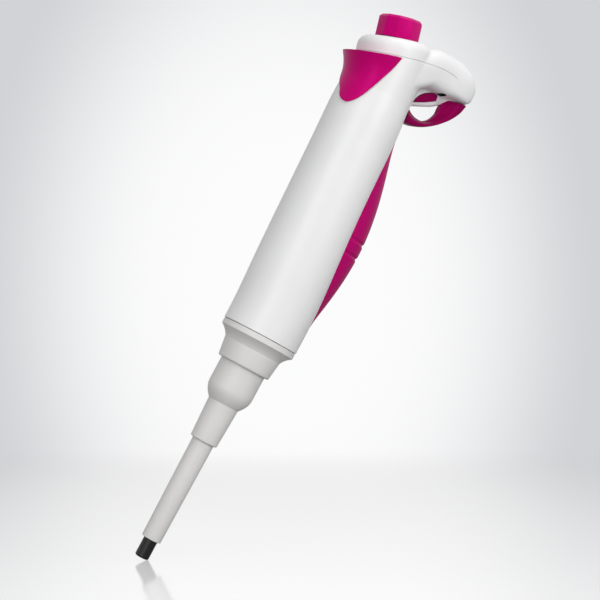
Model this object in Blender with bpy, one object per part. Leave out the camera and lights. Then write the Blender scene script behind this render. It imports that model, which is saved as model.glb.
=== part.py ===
"""Single-channel adjustable micropipette, built as loose pieces at real size.

World frame: metres, +Z up along the nozzle axis, origin at the centre of the nozzle's open
end. The finger hook points to +X, the tip-ejector button to -X, the volume window to +Y.
The thumb button works on a second axis, the head axis, which leans towards -X.
"""

import math

import bmesh
import bpy
from mathutils import Matrix, Vector

MM = 0.001

# Clearances
GAP = 0.3 * MM            # between pieces that seat on each other
RUN = 0.3 * MM            # between pieces that slide or turn in each other
HOLE_PLAY = 0.3 * MM      # round a rod or a screw in its hole
MERGE_DISTANCE = 0.001 * MM
OVERRUN = 5.0 * MM        # that a cutting shape runs past what it cuts
REACH = 45.0 * MM         # half width of a cutting shape that spans the whole pipette

# Nozzle and shaft, from the bottom up
NOZZLE_LENGTH = 8.0 * MM
NOZZLE_RADIUS = 2.88 * MM
NOZZLE_ROUNDING = 0.7 * MM
NOZZLE_BORE_RADIUS = 0.5 * MM
NOZZLE_HIDDEN_LENGTH = 2.0 * MM
NOZZLE_SPIGOT_RADIUS = 1.7 * MM
NOZZLE_SPIGOT_LENGTH = 6.0 * MM

TUBE_LENGTH = 43.0 * MM
TUBE_FOOT_RADIUS = 4.05 * MM
TUBE_TOP_RADIUS = 4.55 * MM
TUBE_ROUNDING = 0.5 * MM
TUBE_SEAT_LENGTH = 2.5 * MM

SLEEVE_LENGTH = 16.6 * MM
SLEEVE_FOOT_RADIUS = 5.75 * MM
SLEEVE_TOP_RADIUS = 6.45 * MM
SLEEVE_ROUNDING = 0.7 * MM
SLEEVE_BORE_RADIUS = 5.05 * MM

BULB_LENGTH = 16.4 * MM
BULB_RADIUS = 9.5 * MM
BULB_SHOULDER = 6.5 * MM
BULB_WALL = 1.3 * MM
EJECTOR_FLANGE_HEIGHT = 2.0 * MM
EJECTOR_FLANGE_RADIUS = 10.6 * MM
EJECTOR_EAR_RADIUS = 1.4 * MM
EJECTOR_EAR_HALF_WIDTH = 2.2 * MM

COLLAR_LENGTH = 8.4 * MM
COLLAR_FOOT_RADIUS = 11.2 * MM
COLLAR_TOP_RADIUS = 12.1 * MM
COLLAR_ROUNDING = 0.9 * MM
CONE_LENGTH = 4.4 * MM
RING_LENGTH = 2.4 * MM
RING_RADIUS = 15.75 * MM
COUPLING_WALL = 1.2 * MM
COUPLING_THROAT_LENGTH = 11.4 * MM
SPIGOT_LENGTH = 8.8 * MM

# Shaft inside the ejector sleeve
BARREL_SLIM_RADIUS = 2.88 * MM
BARREL_MIDDLE_RADIUS = 4.7 * MM
BARREL_HEAD_RADIUS = 7.6 * MM
BARREL_HEAD_SLOPE = 4.0 * MM
BARREL_STEP_RISE = 1.5 * MM
BARREL_SPIGOT_LENGTH = 7.7 * MM
AIR_CHANNEL_RADIUS = 1.2 * MM
CHAMBER_LENGTH = 20.0 * MM
SEAL_POCKET_DROP = 4.8 * MM

# Plunger
PISTON_RADIUS = 2.3 * MM
PISTON_CLEARANCE = 0.3 * MM     # left in the chamber at the end of a full stroke
PISTON_LENGTH = 32.5 * MM
PISTON_BEVEL = 0.5 * MM
PISTON_GRIP_LENGTH = 3.5 * MM
ROD_RADIUS = 2.0 * MM
ROD_CUP_RADIUS = 3.4 * MM
ROD_CUP_LENGTH = 7.0 * MM
ROD_CUP_SLOPE = 1.2 * MM
THRUST_CAP_RADIUS = 4.4 * MM
THRUST_CAP_HEIGHT = 5.0 * MM
THRUST_CAP_ROOF = 2.4 * MM
SPRING_COLLAR_RADIUS = 5.3 * MM
SPRING_COLLAR_HEIGHT = 2.0 * MM
STOP_FLANGE_RADIUS = 4.6 * MM
STOP_FLANGE_HEIGHT = 2.0 * MM

# Seals
SEAL_RADIUS = 4.4 * MM
SEAL_HEIGHT = 2.5 * MM
O_RING_WIRE = 0.9 * MM
RETAINER_HEIGHT = 3.0 * MM

# Springs
RETURN_SPRING_RADIUS = 4.4 * MM
RETURN_SPRING_WIRE = 0.45 * MM
RETURN_SPRING_LENGTH = 39.3 * MM
RETURN_SPRING_TURNS = 8
BLOWOUT_SPRING_RADIUS = 4.6 * MM
BLOWOUT_SPRING_WIRE = 0.7 * MM
BLOWOUT_SPRING_LENGTH = 11.7 * MM
BLOWOUT_SPRING_TURNS = 4
EJECTOR_SPRING_RADIUS = 2.1 * MM
EJECTOR_SPRING_WIRE = 0.25 * MM
EJECTOR_SPRING_LENGTH = 18.4 * MM
EJECTOR_SPRING_TURNS = 8
SPRING_SIDES = 4
SPRING_STEPS = 8

# Travels
MEASURING_TRAVEL = 6.0 * MM
BLOWOUT_TRAVEL = 2.0 * MM
PRESS_TRAVEL = MEASURING_TRAVEL + BLOWOUT_TRAVEL
EJECT_TRAVEL = 6.5 * MM

# Handle: the distance from the seam to the point where the head axis meets the nozzle axis
HANDLE_LENGTH = 100.0 * MM
HANDLE_WALL = 1.6 * MM
HANDLE_FOOT_RADIUS = 16.0 * MM
HANDLE_BELLY_RADIUS = 16.3 * MM
HANDLE_WAIST_RADIUS = 15.6 * MM
NECK_RADIUS = 14.95 * MM
NECK_RISE = 3.0 * MM             # from the head axis's foot to where the neck starts to turn
HANDLE_STRAIGHT = 4.6 * MM
HANDLE_LEAN = 0.064
HANDLE_LEAN_EASE = 12.0 * MM
SOCKET_DEPTH = 11.5 * MM

# Head, measured along the head axis from its foot on the nozzle axis
HEAD_TILT = math.radians(17.0)
PART_LINE = 21.3 * MM
BOSS_TOP = 28.8 * MM
BOSS_RADIUS = 14.75 * MM
BOSS_ROUNDING = 2.6 * MM
COVER_WALL = 1.8 * MM
BUTTON_BORE_WALL = 1.45 * MM
BUTTON_BORE_CLEARANCE = 0.7 * MM  # from the bearing plate up to the bore's foot
PART_LINE_BEND = ((-4.0, 0.0), (2.0, 1.2), (7.0, 1.5), (11.0, 1.2), (15.5, 0.0), (18.5, -1.7), (21.0, -4.4),
                  (24.0, -7.4), (30.0, -9.7), (38.0, -13.2))

# Push button
BUTTON_FACETS = 10
BUTTON_RADIUS = 9.1 * MM
BUTTON_HEIGHT = 9.3 * MM
BUTTON_BEVEL = 1.1 * MM
BUTTON_WALL = 2.0 * MM
BUTTON_ROOF = 3.4 * MM
STEM_RADIUS = 2.1 * MM
STEM_SOCKET_RADIUS = 3.6 * MM
STEM_SOCKET_RISE = 1.0 * MM
STEM_GRIP_LENGTH = 1.2 * MM

# Volume drive
SCREW_RADIUS = 3.5 * MM
SCREW_FOOT = 4.0 * MM
NUT_FOOT = 5.0 * MM
NUT_HEIGHT = 2.4 * MM
NUT_RADIUS = 6.8 * MM
GEAR_TEETH = 12
GEAR_CENTRES = 8.0 * MM
GEAR_HEIGHT = 2.0 * MM
TOOTH_HEAD = 0.5 * MM
TOOTH_FOOT = 0.85 * MM
TOOTH_TIP_WIDTH = 0.5 * MM
TOOTH_ROOT_WIDTH = 1.0 * MM
DRUM_COUNT = 3
DRUM_RADIUS = 3.6 * MM
DRUM_HEIGHT = 2.8 * MM
DRUM_FOOT = 7.8 * MM
DRUM_AXLE_RADIUS = 0.7 * MM
AXLE_SHORTFALL = 0.2 * MM         # the axle ends this far inside the bearing plate
BEARING_PLATE_RADIUS = 12.6 * MM
BEARING_PLATE_HEIGHT = 1.0 * MM
EAR_RADIUS = 2.2 * MM
EAR_STEP = 0.2 * MM

# Window over the drums
WINDOW_HALF_WIDTH = 3.3 * MM
WINDOW_MARGIN = 0.4 * MM
LENS_DEPTH = 1.7 * MM

# Chassis tube
FRAME_RADIUS = 6.9 * MM
FRAME_BORE_RADIUS = 6.0 * MM
FRAME_FLANGE_HEIGHT = 2.2 * MM
FRAME_SLOT_HALF_WIDTH = 3.0 * MM
FRAME_SLOT_LENGTH = 20.0 * MM
FRAME_SLOT_RISE = 8.0 * MM
FRAME_END = 4.7 * MM
FRAME_SHELF_HEIGHT = 2.0 * MM
SHELF_CLEARANCE = 7.5 * MM       # between the return spring's collar and the shelf
FRAME_TOP_RISE = 12.0 * MM

# Ejector
EJECTOR_ROD_RADIUS = 1.3 * MM
EJECTOR_ROD_X = -11.2 * MM
EJECTOR_BUTTON_HEIGHT = 20.6 * MM
EJECTOR_BUTTON_EDGE = 0.7 * MM
EJECTOR_BUTTON_FLARE = 3.9 * MM
EJECTOR_BUTTON_FLARE_START = 0.45
EJECTOR_LIP_REACH = 6.5 * MM      # how far out the slant of the lip is read, so that it droops
# The shield's two edges as angles from -X, in degrees, towards +Y and towards -Y, by share of its height
EJECTOR_BUTTON_EDGES = (
    (0.0, -19.0, 27.0),
    (0.05, -9.0, 35.0),
    (0.12, -3.0, 44.0),
    (0.22, 1.0, 52.0),
    (0.4, 14.0, 59.0),
    (0.55, 32.0, 64.0),
    (0.75, 52.0, 70.0),
    (1.0, 62.0, 76.0),
)
EJECTOR_NECK_HALF_WIDTH = 2.2 * MM
EJECTOR_NECK_HEIGHT = 4.0 * MM
EJECTOR_NECK_RISE = 14.0 * MM
EJECTOR_NECK_WALL = 0.6 * MM
EJECTOR_NECK_ROOF = 1.0 * MM
EJECTOR_CLIP_RADIUS = 2.5 * MM
EJECTOR_CLIP_HEIGHT = 0.8 * MM
EJECTOR_CLIP_DROP = 1.2 * MM
EJECTOR_ARM_HEIGHT = 2.0 * MM

# Palm grip
GRIP_START = 10.6 * MM
GRIP_LENGTH = 82.0 * MM
GRIP_CREST = 6.6 * MM
GRIP_EDGE = 0.2 * MM
GRIP_INSET = 0.8 * MM
GRIP_WRAP = math.radians(46.0)
GRIP_GROOVES = (43.6 * MM, 49.6 * MM)
GRIP_GROOVE_DEPTH = 0.5 * MM
GRIP_GROOVE_HALF_WIDTH = 0.9 * MM

# Hook stations in millimetres: x, top, upper edge of the scoop, keel, half width.
# The heights are above the foot of the head axis.
HOOK_STATIONS = (
    (2.0, 31.0, 15.2, 5.4, 9.2),
    (6.0, 33.6, 18.3, 7.0, 9.2),
    (10.0, 34.4, 21.4, 8.9, 9.1),
    (14.0, 35.1, 22.5, 10.9, 9.0),
    (18.0, 35.4, 23.1, 13.1, 9.0),
    (22.3, 35.2, 22.6, 15.6, 8.7),
    (22.6, 35.1, 22.6, 16.6, 8.7),
    (26.0, 34.4, 22.3, 18.4, 8.1),
    (29.5, 32.9, 22.2, 20.2, 7.0),
    (32.0, 30.8, 22.8, 21.4, 5.4),
    (33.6, 28.0, 23.8, 22.3, 3.4),
)
KEEL_HALF_WIDTH = 3.2 * MM
KEEL_BEVEL = 0.6 * MM
KEEL_SIDE_HEIGHT = 1.0 * MM
HOOK_EDGE_HEIGHT = 1.2 * MM
HOOK_SQUARENESS = 0.55

# Ring below the hook: outer curve and inner curve, x and height above the foot of the
# head axis in millimetres, from the hook's end round to the handle
RING_OUTER = ((32.8, 21.6), (31.8, 18.0), (29.4, 13.9), (26.8, 10.8), (24.0, 8.0), (20.0, 4.9), (15.6, 2.7),
              (11.2, 1.8))
RING_INNER = ((10.2, 7.2), (12.6, 5.4), (15.6, 5.0), (18.8, 6.0), (21.9, 8.7), (23.5, 12.2), (23.4, 15.0))
RING_HALF_WIDTH = 3.9 * MM
RING_EDGE_BEVEL = 0.9 * MM

# Inlay in the keel beside the handle
INLAY_START = 10.8 * MM
INLAY_LENGTH = 8.8 * MM
INLAY_HEIGHT = 4.1 * MM
INLAY_MARGIN = 2.2 * MM
INLAY_STEP = 0.2 * MM

# Hook screws
SCREW_X = 18.5 * MM
SCREW_Y = 4.8 * MM
SCREW_HEAD_RADIUS = 1.6 * MM
SCREW_HEAD_HEIGHT = 1.4 * MM
SCREW_SHANK_RADIUS = 0.9 * MM
SCREW_SEAT_RISE = 22.4 * MM
SCREW_LENGTH = 7.0 * MM

ROUND_STEPS = 32
FRAME_STEPS = 24
SMALL_STEPS = 16
AXLE_STEPS = 12

# Places that follow from the lengths above
TUBE_Z = NOZZLE_LENGTH
SLEEVE_Z = TUBE_Z + TUBE_LENGTH
BULB_Z = SLEEVE_Z + SLEEVE_LENGTH
COLLAR_Z = BULB_Z + BULB_LENGTH
CONE_Z = COLLAR_Z + COLLAR_LENGTH
RING_Z = CONE_Z + CONE_LENGTH
HANDLE_Z = RING_Z + RING_LENGTH + GAP
PIVOT_Z = HANDLE_Z + HANDLE_LENGTH
SPIGOT_TOP = RING_Z + RING_LENGTH + SPIGOT_LENGTH
FRAME_Z = SPIGOT_TOP + GAP
SOCKET_RADIUS = HANDLE_FOOT_RADIUS - HANDLE_WALL
SPIGOT_RADIUS = SOCKET_RADIUS - GAP
COUPLING_THROAT_Z = COLLAR_Z + COUPLING_THROAT_LENGTH
BULB_TOP = COUPLING_THROAT_Z + EJECT_TRAVEL + RUN + EJECTOR_FLANGE_HEIGHT
SEAL_POCKET_START = RING_Z - SEAL_POCKET_DROP
CHAMBER_START = SEAL_POCKET_START - CHAMBER_LENGTH
TUBE_BORE_RADIUS = NOZZLE_RADIUS + RUN
BULB_BORE_RADIUS = BULB_RADIUS - BULB_WALL
PISTON_BORE_RADIUS = PISTON_RADIUS + RUN
SEAL_POCKET_RADIUS = SEAL_RADIUS + GAP
STEM_BORE_RADIUS = STEM_RADIUS + RUN
BUTTON_FOOT = BOSS_TOP + GAP
BUTTON_BORE_RADIUS = BUTTON_RADIUS + RUN
PLUNGE_TRAVEL = PRESS_TRAVEL * math.cos(HEAD_TILT)
PISTON_START = CHAMBER_START + PISTON_CLEARANCE + PLUNGE_TRAVEL
BALL_CENTRE = PRESS_TRAVEL / 2
THRUST_CAP_TOP = PIVOT_Z + BALL_CENTRE * math.cos(HEAD_TILT) - STEM_RADIUS - GAP
GEAR_PITCH_RADIUS = GEAR_CENTRES / 2
DRUM_PITCH = DRUM_HEIGHT + RUN
GEAR_FOOT = DRUM_FOOT + DRUM_COUNT * DRUM_PITCH
BEARING_PLATE_FOOT = GEAR_FOOT + GEAR_HEIGHT + 2 * RUN
BUTTON_BORE_FOOT = BEARING_PLATE_FOOT + BEARING_PLATE_HEIGHT + BUTTON_BORE_CLEARANCE

HEAD = Matrix.Translation((0, 0, PIVOT_Z)) @ Matrix.Rotation(-HEAD_TILT, 4, "Y")

MAGENTA = ((0.60, 0.012, 0.22), 0.38, 0.0)
WHITE = ((0.86, 0.86, 0.86), 0.42, 0.0)
GREY_WHITE = ((0.72, 0.72, 0.71), 0.45, 0.0)
BLACK = ((0.012, 0.012, 0.013), 0.35, 0.0)
STEEL = ((0.60, 0.60, 0.62), 0.28, 1.0)
BRASS = ((0.72, 0.52, 0.22), 0.30, 1.0)
CLEAR = ((0.80, 0.86, 0.90), 0.05, 0.0)
SEAL_WHITE = ((0.90, 0.90, 0.88), 0.50, 0.0)
RUBBER_RED = ((0.35, 0.03, 0.02), 0.60, 0.0)


def make_material(name, finish):
    """Return a Principled material with the given colour, roughness and metallic value."""
    colour, roughness, metallic = finish
    made = bpy.data.materials.new(name)
    made.use_nodes = True
    shader = made.node_tree.nodes["Principled BSDF"]
    shader.inputs["Base Color"].default_value = (*colour, 1.0)
    shader.inputs["Roughness"].default_value = roughness
    shader.inputs["Metallic"].default_value = metallic
    return made


def make_object(name, mesh_data, frame=None):
    """Turn a bmesh into an object, with an optional placing matrix, and free the bmesh."""
    bmesh.ops.recalc_face_normals(mesh_data, faces=mesh_data.faces)
    mesh = bpy.data.meshes.new(name)
    mesh_data.to_mesh(mesh)
    mesh_data.free()
    made = bpy.data.objects.new(name, mesh)
    bpy.context.collection.objects.link(made)
    if frame is not None:
        made.matrix_world = frame
    return made


def finish_object(made, finish, parent=None):
    """Shade an object, give it its material and hang it under an axis empty in place."""
    mesh = made.data
    mesh.shade_smooth()
    mesh.set_sharp_from_angle(angle=math.radians(32))
    mesh.materials.clear()
    mesh.materials.append(make_material(made.name, finish))
    if parent is not None:
        bpy.context.view_layer.update()
        place = made.matrix_world.copy()
        mesh.transform(parent.matrix_world.inverted() @ place)
        made.matrix_world = parent.matrix_world
        made.parent = parent
        made.matrix_parent_inverse = Matrix.Identity(4)
        made.matrix_basis = Matrix.Identity(4)
    return made


def make_axis(name, frame):
    """Return an empty that stands on a joint's axis."""
    axis = bpy.data.objects.new(name, None)
    bpy.context.collection.objects.link(axis)
    axis.matrix_world = frame
    return axis


def combine(body, tool, operation):
    """Apply a boolean of the tool to the body and remove the tool."""
    modifier = body.modifiers.new("combine", "BOOLEAN")
    modifier.operation = operation
    modifier.solver = "EXACT"
    modifier.object = tool
    bpy.context.view_layer.update()
    evaluated = body.evaluated_get(bpy.context.evaluated_depsgraph_get())
    result = bpy.data.meshes.new_from_object(evaluated)
    body.modifiers.clear()
    tidy = bmesh.new()
    tidy.from_mesh(result)
    bmesh.ops.remove_doubles(tidy, verts=tidy.verts, dist=MERGE_DISTANCE)
    bmesh.ops.dissolve_degenerate(tidy, edges=tidy.edges, dist=MERGE_DISTANCE)
    tidy.to_mesh(result)
    tidy.free()
    body.data = result
    bpy.data.objects.remove(tool, do_unlink=True)
    return body


def cut(body, tool):
    """Take the tool's volume out of the body."""
    return combine(body, tool, "DIFFERENCE")


def fuse(body, tool):
    """Join the tool's volume to the body."""
    return combine(body, tool, "UNION")


def keep(body, tool):
    """Keep only what the body shares with the tool."""
    return combine(body, tool, "INTERSECT")


def revolve(name, profile, steps=ROUND_STEPS, frame=None):
    """Spin a closed profile of (radius, height) points about the local Z axis."""
    shape = bmesh.new()
    verts = [shape.verts.new((radius, 0, height)) for radius, height in profile]
    touches_axis = profile[0][0] == 0 and profile[-1][0] == 0
    pairs = list(zip(verts, verts[1:]))
    if not touches_axis:
        pairs.append((verts[-1], verts[0]))
    edges = [shape.edges.new(pair) for pair in pairs]
    bmesh.ops.spin(shape, geom=verts + edges, cent=(0, 0, 0), axis=(0, 0, 1), angle=2 * math.pi,
                   steps=steps, use_merge=True)
    bmesh.ops.remove_doubles(shape, verts=shape.verts, dist=MERGE_DISTANCE)
    return make_object(name, shape, frame)


def arc(centre, radius, start, end, count):
    """Return points of an arc in a (radius, height) plane, angles in degrees."""
    across, up = centre
    points = []
    for index in range(count + 1):
        angle = math.radians(start + (end - start) * index / count)
        points.append((across + radius * math.cos(angle), up + radius * math.sin(angle)))
    return points


def tube(name, outer, inner, low, high, steps=SMALL_STEPS, frame=None):
    """Return a plain round tube or, with no inner radius, a rod."""
    if inner == 0:
        profile = [(0, low), (outer, low), (outer, high), (0, high)]
    else:
        profile = [(inner, low), (outer, low), (outer, high), (inner, high)]
    return revolve(name, profile, steps, frame)


def loft(name, rings, frame=None):
    """Skin a row of equal rings and close both ends."""
    shape = bmesh.new()
    loops = [[shape.verts.new(point) for point in ring] for ring in rings]
    count = len(loops[0])
    for lower, upper in zip(loops, loops[1:]):
        for index in range(count):
            following = (index + 1) % count
            shape.faces.new((lower[index], lower[following], upper[following], upper[index]))
    shape.faces.new(list(reversed(loops[0])))
    shape.faces.new(loops[-1])
    return make_object(name, shape, frame)


def prism(name, outline, half_width, centre_y=0.0, frame=None):
    """Extrude an outline of (x, z) points along Y, both ways from the centre."""
    near = [(x, centre_y - half_width, z) for x, z in outline]
    far = [(x, centre_y + half_width, z) for x, z in outline]
    return loft(name, [near, far], frame)


def block(name, low, high, frame=None):
    """Return a box between two corners."""
    outline = [(low[0], low[2]), (high[0], low[2]), (high[0], high[2]), (low[0], high[2])]
    return prism(name, outline, (high[1] - low[1]) / 2, (high[1] + low[1]) / 2, frame)


def blend(value):
    """Ease from 0 to 1 with a level start and end."""
    value = min(max(value, 0.0), 1.0)
    return value * value * (3 - 2 * value)


def through(stations, place):
    """Read a value off a smooth curve through (place, value) stations."""
    for (start, low), (end, high) in zip(stations, stations[1:]):
        if place <= end:
            return low + (high - low) * blend((place - start) / (end - start))
    return stations[-1][1]


def between(stations, place):
    """Read a value off straight lines between (place, value) stations."""
    for (start, low), (end, high) in zip(stations, stations[1:]):
        if place <= end:
            return low + (high - low) * (place - start) / (end - start)
    return stations[-1][1]


def handle_radius(height):
    """Outer radius of the handle at a height, before the neck turns into the head."""
    stations = (
        (HANDLE_Z, HANDLE_FOOT_RADIUS),
        (HANDLE_Z + 0.28 * HANDLE_LENGTH, HANDLE_BELLY_RADIUS),
        (HANDLE_Z + 0.92 * HANDLE_LENGTH, HANDLE_WAIST_RADIUS),
        (HANDLE_Z + 1.08 * HANDLE_LENGTH, NECK_RADIUS),
    )
    return through(stations, height)


def handle_centre(height):
    """X of the handle's centre line at a height: it leans towards the ejector button."""
    rise = max(height - HANDLE_Z - HANDLE_STRAIGHT, 0.0)
    return -HANDLE_LEAN * rise * rise / (rise + HANDLE_LEAN_EASE)


def body_rings(inset, low=None, top=BOSS_TOP, rounding=0.0):
    """Rings of the outer form from the seam to the head's top, drawn in by an inset."""
    low = HANDLE_Z if low is None else low
    neck_z = PIVOT_Z + NECK_RISE
    rings = []
    level_count = 7
    for index in range(level_count + 1):
        height = low + (neck_z - low) * index / level_count
        radius = handle_radius(height) - inset
        rings.append(ring_points(Vector((handle_centre(height), 0, height)), 0.0, radius))
    neck_centre = Vector((handle_centre(neck_z), 0, neck_z))
    part_centre = HEAD @ Vector((0, 0, PART_LINE))
    turn_count = 4
    for index in range(1, turn_count + 1):
        share = index / turn_count
        centre = neck_centre.lerp(part_centre, share)
        radius = NECK_RADIUS + (BOSS_RADIUS - NECK_RADIUS) * share - inset
        rings.append(ring_points(centre, HEAD_TILT * blend(share), radius))
    if rounding > 0:
        rounded = arc((BOSS_RADIUS - inset - rounding, top - rounding), rounding, 0, 90, 4)
        for radius, rise in rounded:
            rings.append(ring_points(HEAD @ Vector((0, 0, rise)), HEAD_TILT, radius))
    else:
        rings.append(ring_points(HEAD @ Vector((0, 0, top)), HEAD_TILT, BOSS_RADIUS - inset))
    return rings


def ring_points(centre, tilt, radius):
    """Points of a circle round a centre, tipped towards -X by the tilt."""
    turn = Matrix.Rotation(-tilt, 3, "Y")
    points = []
    for index in range(ROUND_STEPS):
        angle = 2 * math.pi * index / ROUND_STEPS
        points.append(centre + turn @ Vector((radius * math.cos(angle), radius * math.sin(angle), 0)))
    return points


def hook_section(station):
    """One cross-section of the hook: rounded top, level edge, scooped flanks and keel."""
    x, top, edge, keel, half = [value * MM for value in station]
    keel_half = min(KEEL_HALF_WIDTH, 0.8 * half)
    keel_side = min(keel + KEEL_SIDE_HEIGHT, (keel + edge) / 2)
    base = edge + HOOK_EDGE_HEIGHT
    outline = []
    upper_count = 5
    for index in range(upper_count + 1):
        angle = math.radians(90 - 90 * index / upper_count)
        across = half * math.cos(angle) ** HOOK_SQUARENESS
        outline.append((across, base + (top - base) * max(math.sin(angle), 0.0) ** HOOK_SQUARENESS))
    scoop_count = 4
    for index in range(scoop_count + 1):
        angle = math.radians(90 - 90 * index / scoop_count)
        across = half - (half - keel_half) * math.cos(angle)
        outline.append((across, keel_side + (edge - keel_side) * math.sin(angle)))
    outline.append((keel_half - KEEL_BEVEL, keel))
    right = [Vector((x, across, PIVOT_Z + rise)) for across, rise in outline]
    left = [Vector((x, -point.y, point.z)) for point in reversed(right[1:])]
    return right + left


def keel_height(x):
    """Height of the hook's keel line above the foot of the head axis."""
    return between([(station[0] * MM, station[3] * MM) for station in HOOK_STATIONS], x)


def part_outline(offset, limit_z):
    """Side view of the region on one side of the part line between shell and cover."""
    sine, cosine = math.sin(HEAD_TILT), math.cos(HEAD_TILT)
    curve = [(-REACH, 0.0)] + [(x * MM, drop * MM) for x, drop in PART_LINE_BEND]
    outline = []
    for x, drop in curve:
        plane = PIVOT_Z + (PART_LINE + x * sine) / cosine
        outline.append((x, plane + drop + offset))
    return outline + [(outline[-1][0], limit_z), (outline[0][0], limit_z)]


def outer_form(name):
    """Handle, neck, boss and hook as one closed form."""
    form = loft(name, body_rings(0.0, rounding=BOSS_ROUNDING))
    hook = loft("hook_form", [hook_section(station) for station in HOOK_STATIONS])
    return fuse(form, hook)


def make_handle_shell():
    """White handle: hollow below the part line, solid in the lower half of the hook."""
    shell = outer_form("handle_shell")
    keep(shell, prism("below", part_outline(-GAP / 2, HANDLE_Z - OVERRUN), REACH))
    cut(shell, loft("hollow", body_rings(HANDLE_WALL, low=HANDLE_Z - OVERRUN)))
    cut(shell, tube("socket", SOCKET_RADIUS, 0, HANDLE_Z - OVERRUN, HANDLE_Z + SOCKET_DEPTH, ROUND_STEPS))
    cut(shell, grip_form("grip_seat", GAP))
    cut(shell, window_form("window", 0.0))
    neck_low = neck_foot() - EJECT_TRAVEL - RUN
    neck_high = neck_foot() + EJECTOR_NECK_HEIGHT + RUN
    slot_half = EJECTOR_NECK_HALF_WIDTH + RUN
    slot_back = handle_centre(PIVOT_Z) - NECK_RADIUS + HANDLE_WALL + OVERRUN
    cut(shell, block("ejector_slot", (-REACH, -slot_half, neck_low), (slot_back, slot_half, neck_high)))
    cut(shell, inlay_form("inlay_seat", GAP, REACH))
    for side in (-1, 1):
        cut(shell, screw_hole("screw_hole", side))
    return finish_object(shell, WHITE)


def make_head_cover():
    """Round boss with the button's bore, and the upper half of the hook."""
    cover = outer_form("head_cover")
    keep(cover, prism("above", part_outline(GAP / 2, PIVOT_Z + BOSS_TOP + 2 * BOSS_RADIUS), REACH))
    bore_wall = BUTTON_BORE_RADIUS + BUTTON_BORE_WALL
    hollow_foot = PART_LINE - BOSS_RADIUS * math.tan(HEAD_TILT) - OVERRUN
    cut(cover, tube("hollow", BOSS_RADIUS - HANDLE_WALL, bore_wall, hollow_foot, BOSS_TOP - COVER_WALL,
                    ROUND_STEPS, HEAD))
    fuse(cover, tube("bore_tube", bore_wall, BUTTON_BORE_RADIUS, BUTTON_BORE_FOOT, BOSS_TOP - COVER_WALL / 2,
                     ROUND_STEPS, HEAD))
    cut(cover, tube("bore", BUTTON_BORE_RADIUS, 0, BUTTON_BORE_FOOT - OVERRUN, BOSS_TOP + OVERRUN,
                    ROUND_STEPS, HEAD))
    for side in (-1, 1):
        cut(cover, screw_hole("screw_hole", side))
    return finish_object(cover, WHITE)


def screw_hole(name, side):
    """Counterbored hole from the hook's underside up into the cover."""
    seat = PIVOT_Z + SCREW_SEAT_RISE
    head = SCREW_HEAD_RADIUS + HOLE_PLAY
    shank = SCREW_SHANK_RADIUS + HOLE_PLAY
    profile = [(0, PIVOT_Z), (head, PIVOT_Z), (head, seat), (shank, seat),
               (shank, seat + SCREW_LENGTH + GAP), (0, seat + SCREW_LENGTH + GAP)]
    return revolve(name, profile, 16, Matrix.Translation((SCREW_X, side * SCREW_Y, 0)))


def make_hook_screw(number, side):
    """Pan-head screw that holds the cover on the handle from below the hook."""
    seat = PIVOT_Z + SCREW_SEAT_RISE - GAP
    foot = seat - SCREW_HEAD_HEIGHT
    profile = [(0, foot), (SCREW_HEAD_RADIUS - 0.3 * MM, foot), (SCREW_HEAD_RADIUS, foot + 0.3 * MM),
               (SCREW_HEAD_RADIUS, seat), (SCREW_SHANK_RADIUS, seat),
               (SCREW_SHANK_RADIUS, seat + SCREW_LENGTH), (0, seat + SCREW_LENGTH)]
    place = Matrix.Translation((SCREW_X, side * SCREW_Y, 0))
    return finish_object(revolve(f"hook_screw_{number}", profile, 16, place), STEEL)


def inlay_form(name, grow, half_width):
    """D-shaped outline in the hook's keel, extruded across it."""
    start = INLAY_START - grow
    end = INLAY_START + INLAY_LENGTH + grow
    outline = []
    arch_count = 8
    for index in range(arch_count + 1):
        share = index / arch_count
        x = start + (end - start) * share
        rise = (INLAY_HEIGHT + grow) * math.sqrt(max(1 - (2 * share - 1) ** 2, 0.0))
        outline.append((x, PIVOT_Z + keel_height(x) + INLAY_MARGIN + rise))
    low_end = PIVOT_Z + keel_height(end) + INLAY_MARGIN - grow
    low_start = PIVOT_Z + keel_height(start) + INLAY_MARGIN - grow
    if grow == 0:
        low_end -= INLAY_STEP
        low_start -= INLAY_STEP
    return prism(name, outline + [(end, low_end), (start, low_start)], half_width)


def grip_form(name, grow):
    """Palm grip on the back of the handle, its crest following half a sine wave."""
    start = HANDLE_Z + GRIP_START - grow
    end = HANDLE_Z + GRIP_START + GRIP_LENGTH + grow
    wrap = GRIP_WRAP + grow / HANDLE_FOOT_RADIUS
    row_count = 14
    heights = [start + (end - start) * index / row_count for index in range(row_count + 1)]
    if grow == 0:
        for groove in GRIP_GROOVES:
            middle = HANDLE_Z + groove
            heights = [z for z in heights if abs(z - middle) > 1.6 * GRIP_GROOVE_HALF_WIDTH]
            heights += [middle - GRIP_GROOVE_HALF_WIDTH, middle, middle + GRIP_GROOVE_HALF_WIDTH]
    rings = []
    column_count = 8
    for height in sorted(heights):
        share = (height - start) / (end - start)
        crest = GRIP_CREST * math.sin(math.pi * share)
        if grow == 0 and any(abs(height - HANDLE_Z - groove) < 0.1 * MM for groove in GRIP_GROOVES):
            crest -= GRIP_GROOVE_DEPTH
        taper = 0.35 + 0.65 * math.sin(math.pi * min(max(share, 0.0), 1.0)) ** 0.5
        centre = handle_centre(height)
        base = handle_radius(height)
        outer, inner = [], []
        for column in range(column_count + 1):
            turn = wrap * taper * (2 * column / column_count - 1)
            profile = 1 - (turn / (wrap * taper)) ** 2
            radius = base + GRIP_EDGE + crest * profile
            if grow > 0:
                radius = base + OVERRUN
            outer.append((centre + radius * math.cos(turn), radius * math.sin(turn), height))
            floor = base - GRIP_INSET - grow
            inner.append((centre + floor * math.cos(turn), floor * math.sin(turn), height))
        rings.append(outer + inner[::-1])
    return loft(name, rings)


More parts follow.
